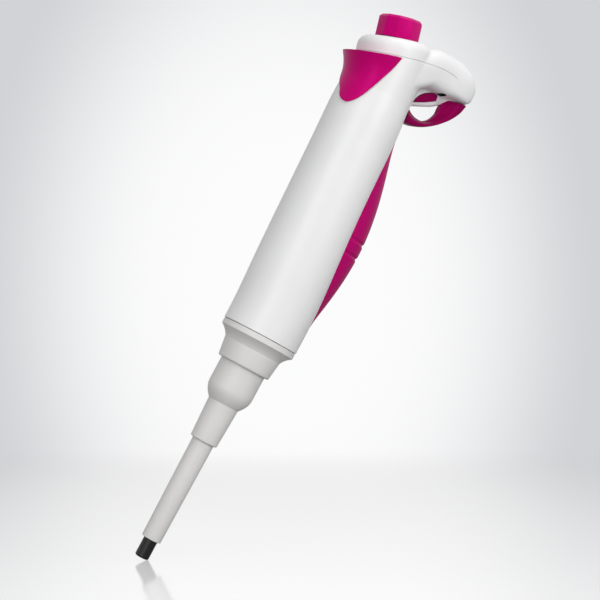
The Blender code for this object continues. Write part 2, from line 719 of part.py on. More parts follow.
def window_form(name, inset):
    """Straight-sided opening over the digit drums, on the +Y side."""
    half = WINDOW_HALF_WIDTH - inset
    low = DRUM_FOOT - WINDOW_MARGIN + inset
    high = GEAR_FOOT - RUN + WINDOW_MARGIN - inset
    return block(name, (-half, NECK_RADIUS - OVERRUN, low), (half, NECK_RADIUS + OVERRUN, high), HEAD)


def make_display_lens():
    """Clear pane that fills the window: flat inside, curved outside like the handle."""
    lens = window_form("display_lens", GAP)
    keep(lens, loft("handle_form", body_rings(0.0)))
    depth = math.sqrt(NECK_RADIUS ** 2 - WINDOW_HALF_WIDTH ** 2) - LENS_DEPTH
    cut(lens, block("inside", (-REACH, 0, PIVOT_Z), (REACH, depth, PIVOT_Z + BOSS_TOP)))
    return finish_object(lens, CLEAR)


def make_finger_ring():
    """Ring that curls from the hook's end down and back to the handle."""
    outer = [(x * MM, PIVOT_Z + rise * MM) for x, rise in RING_OUTER]
    inner = [(x * MM, PIVOT_Z + rise * MM) for x, rise in RING_INNER]
    wall_x = handle_centre(PIVOT_Z) + handle_radius(PIVOT_Z) + GAP
    outer[-1] = (wall_x, outer[-1][1])
    inner[0] = (wall_x, inner[0][1])
    top_start = inner[-1][0]
    inner[-1] = (top_start, PIVOT_Z + keel_height(top_start) - GAP)
    outer[0] = (outer[0][0], PIVOT_Z + keel_height(outer[0][0]) - GAP)
    middle_x = (top_start + outer[0][0]) / 2
    top = [(middle_x, PIVOT_Z + keel_height(middle_x) - GAP)]
    ring = prism("finger_ring", outer + inner + top, RING_HALF_WIDTH)
    bevel = ring.modifiers.new("rounded edge", "BEVEL")
    bevel.width = RING_EDGE_BEVEL
    bevel.segments = 2
    bevel.limit_method = "ANGLE"
    bevel.angle_limit = math.radians(60)
    return finish_object(ring, MAGENTA)


def make_shaft_coupling():
    """Collar, hollow cone and ring, with the spigot that goes up into the handle."""
    bore = BULB_RADIUS + RUN
    throat = COUPLING_THROAT_Z
    top = RING_Z + RING_LENGTH
    wide_bore = SPIGOT_RADIUS - COUPLING_WALL
    cone = []
    cone_count = 4
    for index in range(1, cone_count + 1):
        share = index / cone_count
        radius = COLLAR_TOP_RADIUS + (RING_RADIUS - COLLAR_TOP_RADIUS) * (0.35 * share + 0.65 * share ** 2)
        cone.append((radius, CONE_Z + CONE_LENGTH * share))
    edge = arc((COLLAR_FOOT_RADIUS - COLLAR_ROUNDING, COLLAR_Z + COLLAR_ROUNDING), COLLAR_ROUNDING, -90, 0, 2)
    profile = [(bore, COLLAR_Z)] + edge + [(COLLAR_TOP_RADIUS, CONE_Z)] + cone
    profile += [(RING_RADIUS, top), (SPIGOT_RADIUS, top), (SPIGOT_RADIUS, SPIGOT_TOP), (wide_bore, SPIGOT_TOP),
                (wide_bore, throat), (bore, throat)]
    return finish_object(revolve("shaft_coupling", profile), GREY_WHITE)


def make_tip_cone():
    """Black nozzle that takes the disposable tip, with its spigot into the barrel."""
    shoulder = NOZZLE_LENGTH + NOZZLE_HIDDEN_LENGTH
    edge = arc((NOZZLE_RADIUS - NOZZLE_ROUNDING, NOZZLE_ROUNDING), NOZZLE_ROUNDING, -90, 0, 3)
    profile = [(NOZZLE_BORE_RADIUS, 0)] + edge
    profile += [(NOZZLE_RADIUS, shoulder), (NOZZLE_SPIGOT_RADIUS, shoulder),
                (NOZZLE_SPIGOT_RADIUS, shoulder + NOZZLE_SPIGOT_LENGTH),
                (NOZZLE_BORE_RADIUS, shoulder + NOZZLE_SPIGOT_LENGTH)]
    return finish_object(revolve("tip_cone", profile, SMALL_STEPS), BLACK)


def make_barrel():
    """Shaft with the air channel, the piston's chamber and the seal pocket."""
    foot = NOZZLE_LENGTH + NOZZLE_HIDDEN_LENGTH + GAP
    socket_top = foot + NOZZLE_SPIGOT_LENGTH
    middle = SLEEVE_Z + TUBE_SEAT_LENGTH + BARREL_STEP_RISE
    top = SPIGOT_TOP
    spigot = FRAME_BORE_RADIUS - GAP
    spring_bore = RETURN_SPRING_RADIUS + RETURN_SPRING_WIRE + RUN
    pocket_top = SEAL_POCKET_START + SEAL_HEIGHT + 2 * O_RING_WIRE + 2 * GAP
    profile = [
        (NOZZLE_SPIGOT_RADIUS + GAP, foot),
        (BARREL_SLIM_RADIUS, foot),
        (BARREL_SLIM_RADIUS, middle),
        (BARREL_MIDDLE_RADIUS, middle),
        (BARREL_MIDDLE_RADIUS, COLLAR_Z - BARREL_HEAD_SLOPE),
        (BARREL_HEAD_RADIUS, COLLAR_Z),
        (BARREL_HEAD_RADIUS, top),
        (spigot, top),
        (spigot, top + BARREL_SPIGOT_LENGTH),
        (spring_bore, top + BARREL_SPIGOT_LENGTH),
        (spring_bore, pocket_top),
        (SEAL_POCKET_RADIUS, pocket_top),
        (SEAL_POCKET_RADIUS, SEAL_POCKET_START),
        (PISTON_BORE_RADIUS, SEAL_POCKET_START),
        (PISTON_BORE_RADIUS, CHAMBER_START),
        (AIR_CHANNEL_RADIUS, CHAMBER_START),
        (AIR_CHANNEL_RADIUS, socket_top),
        (NOZZLE_SPIGOT_RADIUS + GAP, socket_top),
    ]
    return finish_object(revolve("barrel", profile, SMALL_STEPS), GREY_WHITE)


def make_seals():
    """Lip seal, O-ring and retainer round the piston."""
    seal_foot = SEAL_POCKET_START + GAP
    seal_top = seal_foot + SEAL_HEIGHT
    finish_object(tube("piston_seal", SEAL_RADIUS, PISTON_BORE_RADIUS, seal_foot, seal_top), SEAL_WHITE)
    ring_centre = seal_top + GAP + O_RING_WIRE
    circle = arc((PISTON_BORE_RADIUS + O_RING_WIRE, ring_centre), O_RING_WIRE, 0, 300, 5)
    finish_object(revolve("o_ring", circle, SMALL_STEPS), RUBBER_RED)
    outer = RETURN_SPRING_RADIUS + RETURN_SPRING_WIRE
    foot = retainer_foot()
    made = tube("seal_retainer", outer, PISTON_BORE_RADIUS, foot, foot + RETAINER_HEIGHT)
    finish_object(made, BRASS)


def retainer_foot():
    """Height where the seal retainer sits."""
    return SEAL_POCKET_START + SEAL_HEIGHT + 2 * O_RING_WIRE + 3 * GAP


def spring_collar_foot():
    """Underside of the collar that the return spring pushes on."""
    return retainer_foot() + RETAINER_HEIGHT + RETURN_SPRING_LENGTH + 2 * GAP


def shelf_foot():
    """Underside of the shelf that carries the blow-out spring."""
    return spring_collar_foot() + SPRING_COLLAR_HEIGHT + SHELF_CLEARANCE


def stop_flange_foot():
    """Underside of the rod's stop flange, at rest."""
    spring_top = shelf_foot() + FRAME_SHELF_HEIGHT + GAP + BLOWOUT_SPRING_LENGTH
    return spring_top + GAP + MEASURING_TRAVEL * math.cos(HEAD_TILT)


def coil(name, radius, wire, turns, low, length, centre_x=0.0):
    """Wind a wire as a helix with its outside between two heights."""
    shape = bmesh.new()
    loops = []
    steps = turns * SPRING_STEPS
    rise = length - 2 * wire
    for step in range(steps + 1):
        angle = 2 * math.pi * step / SPRING_STEPS
        out = Vector((math.cos(angle), math.sin(angle), 0))
        centre = out * radius + Vector((centre_x, 0, low + wire + rise * step / steps))
        loop = []
        for side in range(SPRING_SIDES):
            turn = 2 * math.pi * side / SPRING_SIDES
            point = centre + out * (wire * math.cos(turn)) + Vector((0, 0, wire * math.sin(turn)))
            loop.append(shape.verts.new(point))
        loops.append(loop)
    for first, second in zip(loops, loops[1:]):
        for side in range(SPRING_SIDES):
            other = (side + 1) % SPRING_SIDES
            shape.faces.new((first[side], first[other], second[other], second[side]))
    shape.faces.new(loops[0])
    shape.faces.new(loops[-1])
    return finish_object(make_object(name, shape), STEEL)


def make_springs():
    """Return spring, blow-out spring and ejector spring."""
    coil("return_spring", RETURN_SPRING_RADIUS, RETURN_SPRING_WIRE, RETURN_SPRING_TURNS,
         retainer_foot() + RETAINER_HEIGHT + GAP, RETURN_SPRING_LENGTH)
    coil("blowout_spring", BLOWOUT_SPRING_RADIUS, BLOWOUT_SPRING_WIRE, BLOWOUT_SPRING_TURNS,
         shelf_foot() + FRAME_SHELF_HEIGHT + GAP, BLOWOUT_SPRING_LENGTH)
    coil("ejector_spring", EJECTOR_SPRING_RADIUS, EJECTOR_SPRING_WIRE, EJECTOR_SPRING_TURNS,
         ejector_arm_foot() + EJECTOR_ARM_HEIGHT + GAP, EJECTOR_SPRING_LENGTH, EJECTOR_ROD_X)


def ejector_arm_foot():
    """Underside of the chassis arm that guides the ejector rod, below its spring and clip."""
    clip_top = neck_foot() - EJECTOR_CLIP_DROP
    return clip_top - EJECTOR_CLIP_HEIGHT - 2 * GAP - EJECTOR_SPRING_LENGTH - EJECTOR_ARM_HEIGHT


def make_inner_frame():
    """Chassis tube with base flange, spring shelf, side slots and the ejector rod's arm."""
    shelf = shelf_foot()
    top = PIVOT_Z + FRAME_TOP_RISE
    rod_hole = EJECTOR_ROD_RADIUS + HOLE_PLAY
    profile = [
        (FRAME_BORE_RADIUS, FRAME_Z),
        (SPIGOT_RADIUS, FRAME_Z),
        (SPIGOT_RADIUS, FRAME_Z + FRAME_FLANGE_HEIGHT),
        (FRAME_RADIUS, FRAME_Z + FRAME_FLANGE_HEIGHT),
        (FRAME_RADIUS, top),
        (FRAME_BORE_RADIUS, top),
        (FRAME_BORE_RADIUS, shelf + FRAME_SHELF_HEIGHT),
        (ROD_RADIUS + 2 * RUN, shelf + FRAME_SHELF_HEIGHT),
        (ROD_RADIUS + 2 * RUN, shelf),
        (FRAME_BORE_RADIUS, shelf),
    ]
    frame = revolve("inner_frame", profile, FRAME_STEPS)
    cut(frame, block("slant", (-REACH, -REACH, FRAME_END), (REACH, REACH, FRAME_END + REACH), HEAD))
    slot_low = FRAME_Z + FRAME_FLANGE_HEIGHT + FRAME_SLOT_RISE
    cut(frame, block("slot", (-FRAME_SLOT_HALF_WIDTH, -REACH, slot_low),
                     (FRAME_SLOT_HALF_WIDTH, REACH, slot_low + FRAME_SLOT_LENGTH)))
    arm_foot = ejector_arm_foot()
    arm_top = arm_foot + EJECTOR_ARM_HEIGHT
    arm_half = EJECTOR_SPRING_RADIUS + EJECTOR_SPRING_WIRE
    arm_root = -(FRAME_RADIUS + FRAME_BORE_RADIUS) / 2
    fuse(frame, block("arm", (EJECTOR_ROD_X - arm_half, -arm_half, arm_foot), (arm_root, arm_half, arm_top)))
    rod_place = Matrix.Translation((EJECTOR_ROD_X, 0, 0))
    cut(frame, tube("rod_hole", rod_hole, 0, FRAME_Z - OVERRUN, arm_top + OVERRUN, 16, rod_place))
    return finish_object(frame, BLACK)


def make_plunger(axis):
    """Thrust cap, rod, spring collar and piston, all on the nozzle axis."""
    cap_foot = THRUST_CAP_TOP - THRUST_CAP_HEIGHT
    socket_top = THRUST_CAP_TOP - THRUST_CAP_ROOF
    profile = [(0, socket_top), (ROD_RADIUS + GAP, socket_top), (ROD_RADIUS + GAP, cap_foot),
               (THRUST_CAP_RADIUS, cap_foot), (THRUST_CAP_RADIUS, THRUST_CAP_TOP), (0, THRUST_CAP_TOP)]
    finish_object(revolve("thrust_cap", profile, SMALL_STEPS), STEEL, axis)

    piston_top = PISTON_START + PISTON_LENGTH
    piston = [(0, PISTON_START), (PISTON_RADIUS - PISTON_BEVEL, PISTON_START),
              (PISTON_RADIUS, PISTON_START + PISTON_BEVEL), (PISTON_RADIUS, piston_top), (0, piston_top)]
    finish_object(revolve("piston", piston, SMALL_STEPS), STEEL, axis)

    cup_foot = piston_top - PISTON_GRIP_LENGTH
    cup_top = cup_foot + ROD_CUP_LENGTH
    flange = stop_flange_foot()
    flange_top = flange + STOP_FLANGE_HEIGHT
    socket = PISTON_RADIUS + GAP
    rod = [
        (0, piston_top + GAP),
        (socket, piston_top + GAP),
        (socket, cup_foot),
        (ROD_CUP_RADIUS, cup_foot),
        (ROD_CUP_RADIUS, cup_top),
        (ROD_RADIUS, cup_top + ROD_CUP_SLOPE),
        (ROD_RADIUS, flange),
        (STOP_FLANGE_RADIUS, flange),
        (STOP_FLANGE_RADIUS, flange_top),
        (ROD_RADIUS, flange_top),
        (ROD_RADIUS, socket_top - GAP),
        (0, socket_top - GAP),
    ]
    finish_object(revolve("plunger_rod", rod, SMALL_STEPS), STEEL, axis)

    collar_foot = spring_collar_foot()
    collar = tube("spring_collar", SPRING_COLLAR_RADIUS, ROD_RADIUS + GAP, collar_foot,
                  collar_foot + SPRING_COLLAR_HEIGHT)
    finish_object(collar, BRASS, axis)


def tooth_points(turn, pitch_radius):
    """Four points of one straight-flanked tooth that points in a direction."""
    root, tip = pitch_radius - TOOTH_FOOT, pitch_radius + TOOTH_HEAD
    points = []
    for radius, half in ((root, -TOOTH_ROOT_WIDTH / 2), (tip, -TOOTH_TIP_WIDTH / 2), (tip, TOOTH_TIP_WIDTH / 2),
                         (root, TOOTH_ROOT_WIDTH / 2)):
        across = turn + math.asin(half / radius)
        points.append((radius * math.cos(across), radius * math.sin(across)))
    return points


def gear(name, low, high, start_turn, frame):
    """Spur gear with straight-flanked teeth round the local Z axis."""
    outline = []
    for tooth in range(GEAR_TEETH):
        outline += tooth_points(start_turn + 2 * math.pi * tooth / GEAR_TEETH, GEAR_PITCH_RADIUS)
    rings = [[(x, y, height) for x, y in outline] for height in (low, high)]
    return loft(name, rings, frame)


def make_dial(axis):
    """Drive gear and hollow volume screw, which turn with the push button."""
    drive = gear("drive_gear", GEAR_FOOT, GEAR_FOOT + GEAR_HEIGHT, math.pi / 2, HEAD)
    hex_radius = STEM_BORE_RADIUS / math.cos(math.pi / 6)
    cut(drive, tube("hex_bore", hex_radius, 0, GEAR_FOOT - OVERRUN, GEAR_FOOT + GEAR_HEIGHT + OVERRUN, 6, HEAD))
    finish_object(drive, BRASS, axis)
    screw_top = GEAR_FOOT - RUN
    screw = tube("volume_screw", SCREW_RADIUS, STEM_BORE_RADIUS, SCREW_FOOT, screw_top, SMALL_STEPS, HEAD)
    finish_object(screw, BRASS, axis)


def make_button(axis):
    """Faceted thumb button and its ball-ended stem."""
    low, high = BUTTON_FOOT, BUTTON_FOOT + BUTTON_HEIGHT
    inner = BUTTON_RADIUS - BUTTON_WALL
    roof = high - BUTTON_ROOF
    stem_top = roof + STEM_GRIP_LENGTH
    profile = [
        (0, stem_top + GAP),
        (STEM_RADIUS + GAP, stem_top + GAP),
        (STEM_RADIUS + GAP, low + STEM_SOCKET_RISE),
        (STEM_SOCKET_RADIUS, low + STEM_SOCKET_RISE),
        (STEM_SOCKET_RADIUS, roof),
        (inner, roof),
        (inner, low),
        (BUTTON_RADIUS, low),
        (BUTTON_RADIUS, high - BUTTON_BEVEL),
        (BUTTON_RADIUS - BUTTON_BEVEL, high),
        (0, high),
    ]
    finish_object(revolve("push_button", profile, BUTTON_FACETS, HEAD), MAGENTA, axis)
    ball = arc((0, BALL_CENTRE), STEM_RADIUS, -90, 0, 5)
    ball[0] = (0, ball[0][1])
    stem = revolve("button_stem", ball + [(STEM_RADIUS, stem_top), (0, stem_top)], SMALL_STEPS, HEAD)
    finish_object(stem, STEEL, axis)


def make_drums():
    """Digit drums on their axle, the units drum carrying the driven gear."""
    for number in range(DRUM_COUNT):
        frame = HEAD @ Matrix.Translation((0, GEAR_CENTRES, 0))
        low = DRUM_FOOT + (DRUM_COUNT - 1 - number) * DRUM_PITCH
        high = low + DRUM_HEIGHT
        bore = DRUM_AXLE_RADIUS + RUN
        drum = tube(f"digit_drum_{number + 1}", DRUM_RADIUS, 0, low, high, SMALL_STEPS, frame)
        if number == 0:
            half_tooth = math.pi / GEAR_TEETH
            fuse(drum, tube("gear_hub", GEAR_PITCH_RADIUS - TOOTH_FOOT, 0, high - RUN, GEAR_FOOT + RUN,
                            SMALL_STEPS, frame))
            fuse(drum, gear("driven_gear", GEAR_FOOT, GEAR_FOOT + GEAR_HEIGHT, half_tooth - math.pi / 2, frame))
        cut(drum, tube("bore", bore, 0, low - OVERRUN, GEAR_FOOT + GEAR_HEIGHT + OVERRUN, AXLE_STEPS, frame))
        axis = make_axis(f"drum_axis_{number + 1}", frame)
        finish_object(drum, SEAL_WHITE, axis)


def make_drum_carriers():
    """Nut with its ear, bearing plate and axle: what holds the drums and the screw."""
    ear_place = HEAD @ Matrix.Translation((0, GEAR_CENTRES, 0))
    nut = tube("volume_nut", NUT_RADIUS, 0, NUT_FOOT, NUT_FOOT + NUT_HEIGHT, SMALL_STEPS, HEAD)
    fuse(nut, tube("ear", EAR_RADIUS, 0, NUT_FOOT + EAR_STEP, NUT_FOOT + NUT_HEIGHT - EAR_STEP, 16, ear_place))
    cut(nut, tube("thread", SCREW_RADIUS + RUN, 0, NUT_FOOT - OVERRUN, NUT_FOOT + NUT_HEIGHT + OVERRUN,
                  SMALL_STEPS, HEAD))
    axle_hole = DRUM_AXLE_RADIUS + HOLE_PLAY
    cut(nut, tube("axle_hole", axle_hole, 0, NUT_FOOT - OVERRUN, NUT_FOOT + NUT_HEIGHT + OVERRUN, AXLE_STEPS,
                  ear_place))
    finish_object(nut, BRASS)

    plate_top = BEARING_PLATE_FOOT + BEARING_PLATE_HEIGHT
    plate = tube("bearing_plate", BEARING_PLATE_RADIUS, STEM_BORE_RADIUS + RUN, BEARING_PLATE_FOOT, plate_top,
                 ROUND_STEPS, HEAD)
    cut(plate, tube("axle_hole", axle_hole, 0, BEARING_PLATE_FOOT - OVERRUN, plate_top + OVERRUN, AXLE_STEPS,
                    ear_place))
    finish_object(plate, GREY_WHITE)

    axle = tube("drum_axle", DRUM_AXLE_RADIUS, 0, NUT_FOOT, plate_top - AXLE_SHORTFALL, AXLE_STEPS, ear_place)
    finish_object(axle, STEEL)


def neck_foot():
    """Underside of the neck that joins the ejector button to its rod."""
    return button_toe() + EJECTOR_NECK_RISE


def lip_height(x):
    """Height of the plane just below the head cover, where the ejector button ends."""
    return PIVOT_Z + (PART_LINE - GAP - RUN + x * math.sin(HEAD_TILT)) / math.cos(HEAD_TILT)


def button_toe():
    """Lowest point of the ejector button."""
    return lip_height(handle_centre(PIVOT_Z) - NECK_RADIUS) - EJECTOR_BUTTON_HEIGHT


def make_ejector_button(axis):
    """Shield-shaped thumb button that overlaps the handle's front, with a flared lip."""
    toe = button_toe()
    shares = [edge[0] for edge in EJECTOR_BUTTON_EDGES]
    shares = sorted(shares + [0.65, 0.85, 0.93])
    columns = 12
    outer, inner = [], []
    for share in shares:
        far = math.radians(between([(edge[0], edge[1]) for edge in EJECTOR_BUTTON_EDGES], share))
        near = math.radians(between([(edge[0], edge[2]) for edge in EJECTOR_BUTTON_EDGES], share))
        rise = max((share - EJECTOR_BUTTON_FLARE_START) / (1 - EJECTOR_BUTTON_FLARE_START), 0.0)
        flare = EJECTOR_BUTTON_FLARE * rise ** 2
        outer_row, inner_row = [], []
        for column in range(columns + 1):
            side = 2 * column / columns - 1
            turn = math.pi - far + (near + far) * column / columns
            reach = NECK_RADIUS + EJECTOR_LIP_REACH * (1 - side ** 4)
            height = toe + share * (lip_height(handle_centre(PIVOT_Z) + reach * math.cos(turn)) - toe)
            lowest = height - EJECT_TRAVEL
            centre = min(handle_centre(height), handle_centre(lowest))
            floor = max(handle_radius(height), handle_radius(lowest)) + RUN
            skin = floor + EJECTOR_BUTTON_EDGE + flare * (1 - side ** 4)
            outer_row.append((centre + skin * math.cos(turn), skin * math.sin(turn), height))
            inner_row.append((centre + floor * math.cos(turn), floor * math.sin(turn), height))
        outer.append(outer_row)
        inner.append(inner_row)
    rings = [front + back[::-1] for front, back in zip(outer, inner)]
    button = loft("ejector_button", rings)
    foot = neck_foot()
    front = handle_centre(foot) - handle_radius(foot) - EJECTOR_BUTTON_EDGE
    half = EJECTOR_NECK_HALF_WIDTH
    back = EJECTOR_ROD_X + EJECTOR_ROD_RADIUS + EJECTOR_NECK_WALL
    fuse(button, block("neck", (front, -half, foot), (back, half, foot + EJECTOR_NECK_HEIGHT)))
    rod_place = Matrix.Translation((EJECTOR_ROD_X, 0, 0))
    hole_top = foot + EJECTOR_NECK_HEIGHT - EJECTOR_NECK_ROOF
    cut(button, tube("rod_hole", EJECTOR_ROD_RADIUS + GAP, 0, foot - OVERRUN, hole_top, 16, rod_place))
    return finish_object(button, MAGENTA, axis)


def make_ejector_sleeve(axis):
    """Bulb and sleeve in one moulding, with the top flange and the rod's ear."""
    foot = SLEEVE_Z
    seat = foot + TUBE_SEAT_LENGTH + GAP
    tube_hole = TUBE_TOP_RADIUS + GAP
    flange_foot = BULB_TOP - EJECTOR_FLANGE_HEIGHT
    edge = arc((SLEEVE_FOOT_RADIUS - SLEEVE_ROUNDING, foot + SLEEVE_ROUNDING), SLEEVE_ROUNDING, -60, 0, 2)
    shoulder = []
    shoulder_count = 4
    for index in range(1, shoulder_count + 1):
        angle = math.radians(90 * index / shoulder_count)
        radius = SLEEVE_TOP_RADIUS + (BULB_RADIUS - SLEEVE_TOP_RADIUS) * math.sin(angle) ** 2
        shoulder.append((radius, BULB_Z + BULB_SHOULDER * (1 - math.cos(angle))))
    profile = [(tube_hole, foot)] + edge + [(SLEEVE_TOP_RADIUS, BULB_Z)] + shoulder
    profile += [
        (BULB_RADIUS, flange_foot),
        (EJECTOR_FLANGE_RADIUS, flange_foot),
        (EJECTOR_FLANGE_RADIUS, BULB_TOP),
        (BULB_BORE_RADIUS, BULB_TOP),
        (BULB_BORE_RADIUS, BULB_Z + BULB_SHOULDER + BULB_WALL),
        (SLEEVE_BORE_RADIUS, BULB_Z),
        (SLEEVE_BORE_RADIUS, seat),
        (tube_hole, seat),
    ]
    sleeve = revolve("ejector_sleeve", profile)
    reach = EJECTOR_ROD_X - EJECTOR_EAR_RADIUS
    fuse(sleeve, block("ear", (reach, -EJECTOR_EAR_HALF_WIDTH, flange_foot),
                       (-(BULB_RADIUS + EJECTOR_FLANGE_RADIUS) / 2, EJECTOR_EAR_HALF_WIDTH, BULB_TOP)))
    return finish_object(sleeve, GREY_WHITE, axis)


def make_ejector_tube(axis):
    """Thin tube round the shaft that pushes the tip off."""
    top = SLEEVE_Z + TUBE_SEAT_LENGTH
    edge = arc((TUBE_FOOT_RADIUS - TUBE_ROUNDING, TUBE_Z + TUBE_ROUNDING), TUBE_ROUNDING, -90, 0, 2)
    profile = [(TUBE_BORE_RADIUS, TUBE_Z)] + edge
    profile += [(TUBE_TOP_RADIUS, SLEEVE_Z), (TUBE_TOP_RADIUS, top), (TUBE_BORE_RADIUS, top)]
    return finish_object(revolve("ejector_tube", profile, 32), GREY_WHITE, axis)


def make_ejector_rod(axis):
    """Rod from the ejector button down to the sleeve, and the clip on its spring."""
    place = Matrix.Translation((EJECTOR_ROD_X, 0, 0))
    low = BULB_TOP + GAP
    high = neck_foot() + EJECTOR_NECK_HEIGHT - EJECTOR_NECK_ROOF - GAP
    finish_object(tube("ejector_rod", EJECTOR_ROD_RADIUS, 0, low, high, 16, place), STEEL, axis)
    clip_top = neck_foot() - EJECTOR_CLIP_DROP
    clip = tube("ejector_clip", EJECTOR_CLIP_RADIUS, EJECTOR_ROD_RADIUS + GAP, clip_top - EJECTOR_CLIP_HEIGHT,
                clip_top, 16, place)
    finish_object(clip, STEEL, axis)


def build():
    """Make every piece of the micropipette."""
    for old in list(bpy.data.objects):
        bpy.data.objects.remove(old, do_unlink=True)

    nozzle_axis = make_axis("nozzle_axis", Matrix.Identity(4))
    ejector_axis = make_axis("ejector_axis", Matrix.Identity(4))
    head_axis = make_axis("head_axis", HEAD)

    make_handle_shell()
    make_head_cover()
    make_hook_screw(1, -1)
    make_hook_screw(2, 1)
    finish_object(inlay_form("hook_inlay", 0.0, KEEL_HALF_WIDTH + 0.3 * MM), MAGENTA)
    make_finger_ring()
    finish_object(grip_form("palm_grip", 0.0), MAGENTA)
    make_display_lens()

    make_shaft_coupling()
    make_tip_cone()
    make_barrel()
    make_seals()
    make_springs()
    make_inner_frame()

    make_plunger(nozzle_axis)
    make_dial(head_axis)
    make_button(head_axis)
    make_drums()
    make_drum_carriers()

    make_ejector_button(ejector_axis)
    make_ejector_sleeve(ejector_axis)
    make_ejector_tube(ejector_axis)
    make_ejector_rod(ejector_axis)


build()
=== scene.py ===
"""Dressed scene of a hand-held adjustable micropipette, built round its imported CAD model.

The nozzle axis is Z, the finger hook points to +X, the ejector button to -X and the volume
window to +Y. Smooth pieces stand for the faceted solids that show; the works inside keep
their CAD nodes and get their finishes.
"""

import logging
import math
from collections.abc import Callable, Sequence
from dataclasses import dataclass
from enum import Enum

import bmesh
import bpy
from mathutils import Matrix, Vector


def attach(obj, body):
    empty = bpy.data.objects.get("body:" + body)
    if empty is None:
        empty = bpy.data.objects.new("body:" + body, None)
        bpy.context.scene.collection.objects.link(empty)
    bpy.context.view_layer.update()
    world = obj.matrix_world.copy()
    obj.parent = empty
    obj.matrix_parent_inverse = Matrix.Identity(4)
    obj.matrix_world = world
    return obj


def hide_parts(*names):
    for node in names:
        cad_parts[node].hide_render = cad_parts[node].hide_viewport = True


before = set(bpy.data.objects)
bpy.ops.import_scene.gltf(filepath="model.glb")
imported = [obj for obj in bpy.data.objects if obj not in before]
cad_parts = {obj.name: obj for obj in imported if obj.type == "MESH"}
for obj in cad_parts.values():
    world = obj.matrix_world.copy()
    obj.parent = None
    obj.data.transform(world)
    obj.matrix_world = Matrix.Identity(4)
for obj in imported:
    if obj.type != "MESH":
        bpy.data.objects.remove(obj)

LOG = logging.getLogger("micropipette")
MM = 0.001
GAP = 0.3 * MM  # between pieces that stay together
RUN = 0.3 * MM  # between pieces that move past each other
OVERRUN = 5.0 * MM  # how far a cutter goes past what it cuts
REACH = 45.0 * MM  # further than the pipette is wide

HANDLE_FOOT = 99.5 * MM  # where the handle's form starts
HANDLE_RIM = 98.35 * MM  # lower rim of the shell
BLANK_FOOT = 95.0 * MM  # foot of the form that the shell is cut from
HANDLE_LENGTH = 100.0 * MM
PIVOT = HANDLE_FOOT + HANDLE_LENGTH  # foot of the head's axis
HEAD_TILT = math.radians(17.0)
PART_LINE = 21.3 * MM  # height along the head's axis
EJECT_TRAVEL = 6.5 * MM
HEAD = Matrix.Translation((0, 0, PIVOT)) @ Matrix.Rotation(-HEAD_TILT, 4, "Y")

Point = tuple[float, float]
Stations = Sequence[Point]
Colour = tuple[float, float, float]
Node = bpy.types.Node
Socket = bpy.types.NodeSocket
Piece = bpy.types.Object


class Body(Enum):
    """The CAD bodies that pieces ride on."""

    HANDLE = "handle_body"
    BUTTON = "button"
    EJECTOR = "ejector"
    UNITS = "units_drum"
    TENS = "tens_drum"
    HUNDREDS = "hundreds_drum"


class Surface(Enum):
    """How a finish's fine texture runs."""

    MOULDED = "moulded"
    SOFT = "soft"
    TURNED = "turned"


def smooth(value: float) -> float:
    """Ease from 0 to 1 with a level start and end."""
    value = min(max(value, 0.0), 1.0)
    return value * value * (3 - 2 * value)


def mix(low: float, high: float, share: float) -> float:
    """Value at a share of the way between two values."""
    return low + (high - low) * share


def past(share: float, start: float) -> float:
    """Share of the way from a start to 1; 0 before the start."""
    return max((share - start) / (1 - start), 0.0)


def shares(count: int) -> list[float]:
    """Even shares from 0 to 1, both included."""
    return [index / count for index in range(count + 1)]


def straight(stations: Stations, place: float, ease: Callable[[float], float] = float) -> float:
    """Read a value off the lines between stations.

    Args:
        stations: Pairs of place and value, in order.
        place: Where to read.
        ease: Bends the share of the way between two stations.

    Returns:
        The value at that place.
    """
    for (start, low), (end, high) in zip(stations, stations[1:]):
        if place <= end:
            return mix(low, high, ease((place - start) / (end - start)))
    return stations[-1][1]


def eased(stations: Stations, place: float) -> float:
    """Read a value off eased curves between stations."""
    return straight(stations, place, smooth)


def curved(points: Sequence[Sequence[float]], steps: int) -> list[tuple[float, ...]]:
    """Run a smooth curve through points.

    Args:
        points: Points of any size, in order.
        steps: Spans between two of the points.

    Returns:
        The points of the curve, its ends included.
    """
    padded = [points[0], *points, points[-1]]
    made = []
    for before, start, end, after in zip(padded, padded[1:], padded[2:], padded[3:]):
        for step in range(steps):
            t = step / steps
            made.append(tuple(
                0.5 * (2 * b + (c - a) * t + (2 * a - 5 * b + 4 * c - d) * t * t
                       + (3 * b - a - 3 * c + d) * t * t * t)
                for a, b, c, d in zip(before, start, end, after)))
    made.append(tuple(points[-1]))
    return made


def arc(centre: Point, radius: float, start: float, end: float, count: int) -> list[Point]:
    """Return points of an arc, its angles in degrees.

    Args:
        centre: Middle of the arc.
        radius: Its radius.
        start: First angle.
        end: Last angle.
        count: Number of spans.

    Returns:
        Points from the first angle to the last.
    """
    angles = [math.radians(mix(start, end, share)) for share in shares(count)]
    return [(centre[0] + radius * math.cos(angle), centre[1] + radius * math.sin(angle)) for angle in angles]


def linked(name: str, data: bpy.types.ID) -> Piece:
    """Return a new object in the scene."""
    made = bpy.data.objects.new(name, data)
    bpy.context.collection.objects.link(made)
    return made


def to_object(name: str, data: bmesh.types.BMesh, turn_faces: bool = True) -> Piece:
    """Make an object of a bmesh, with doubles merged and faces outwards.

    Args:
        name: Name of the piece.
        data: The mesh, which is freed.
        turn_faces: Whether to recalculate the faces' directions.

    Returns:
        The linked object.
    """
    bmesh.ops.remove_doubles(data, verts=data.verts, dist=0.0005 * MM)
    if turn_faces:
        bmesh.ops.recalc_face_normals(data, faces=data.faces)
    mesh = bpy.data.meshes.new(name)
    data.to_mesh(mesh)
    data.free()
    return linked(name, mesh)


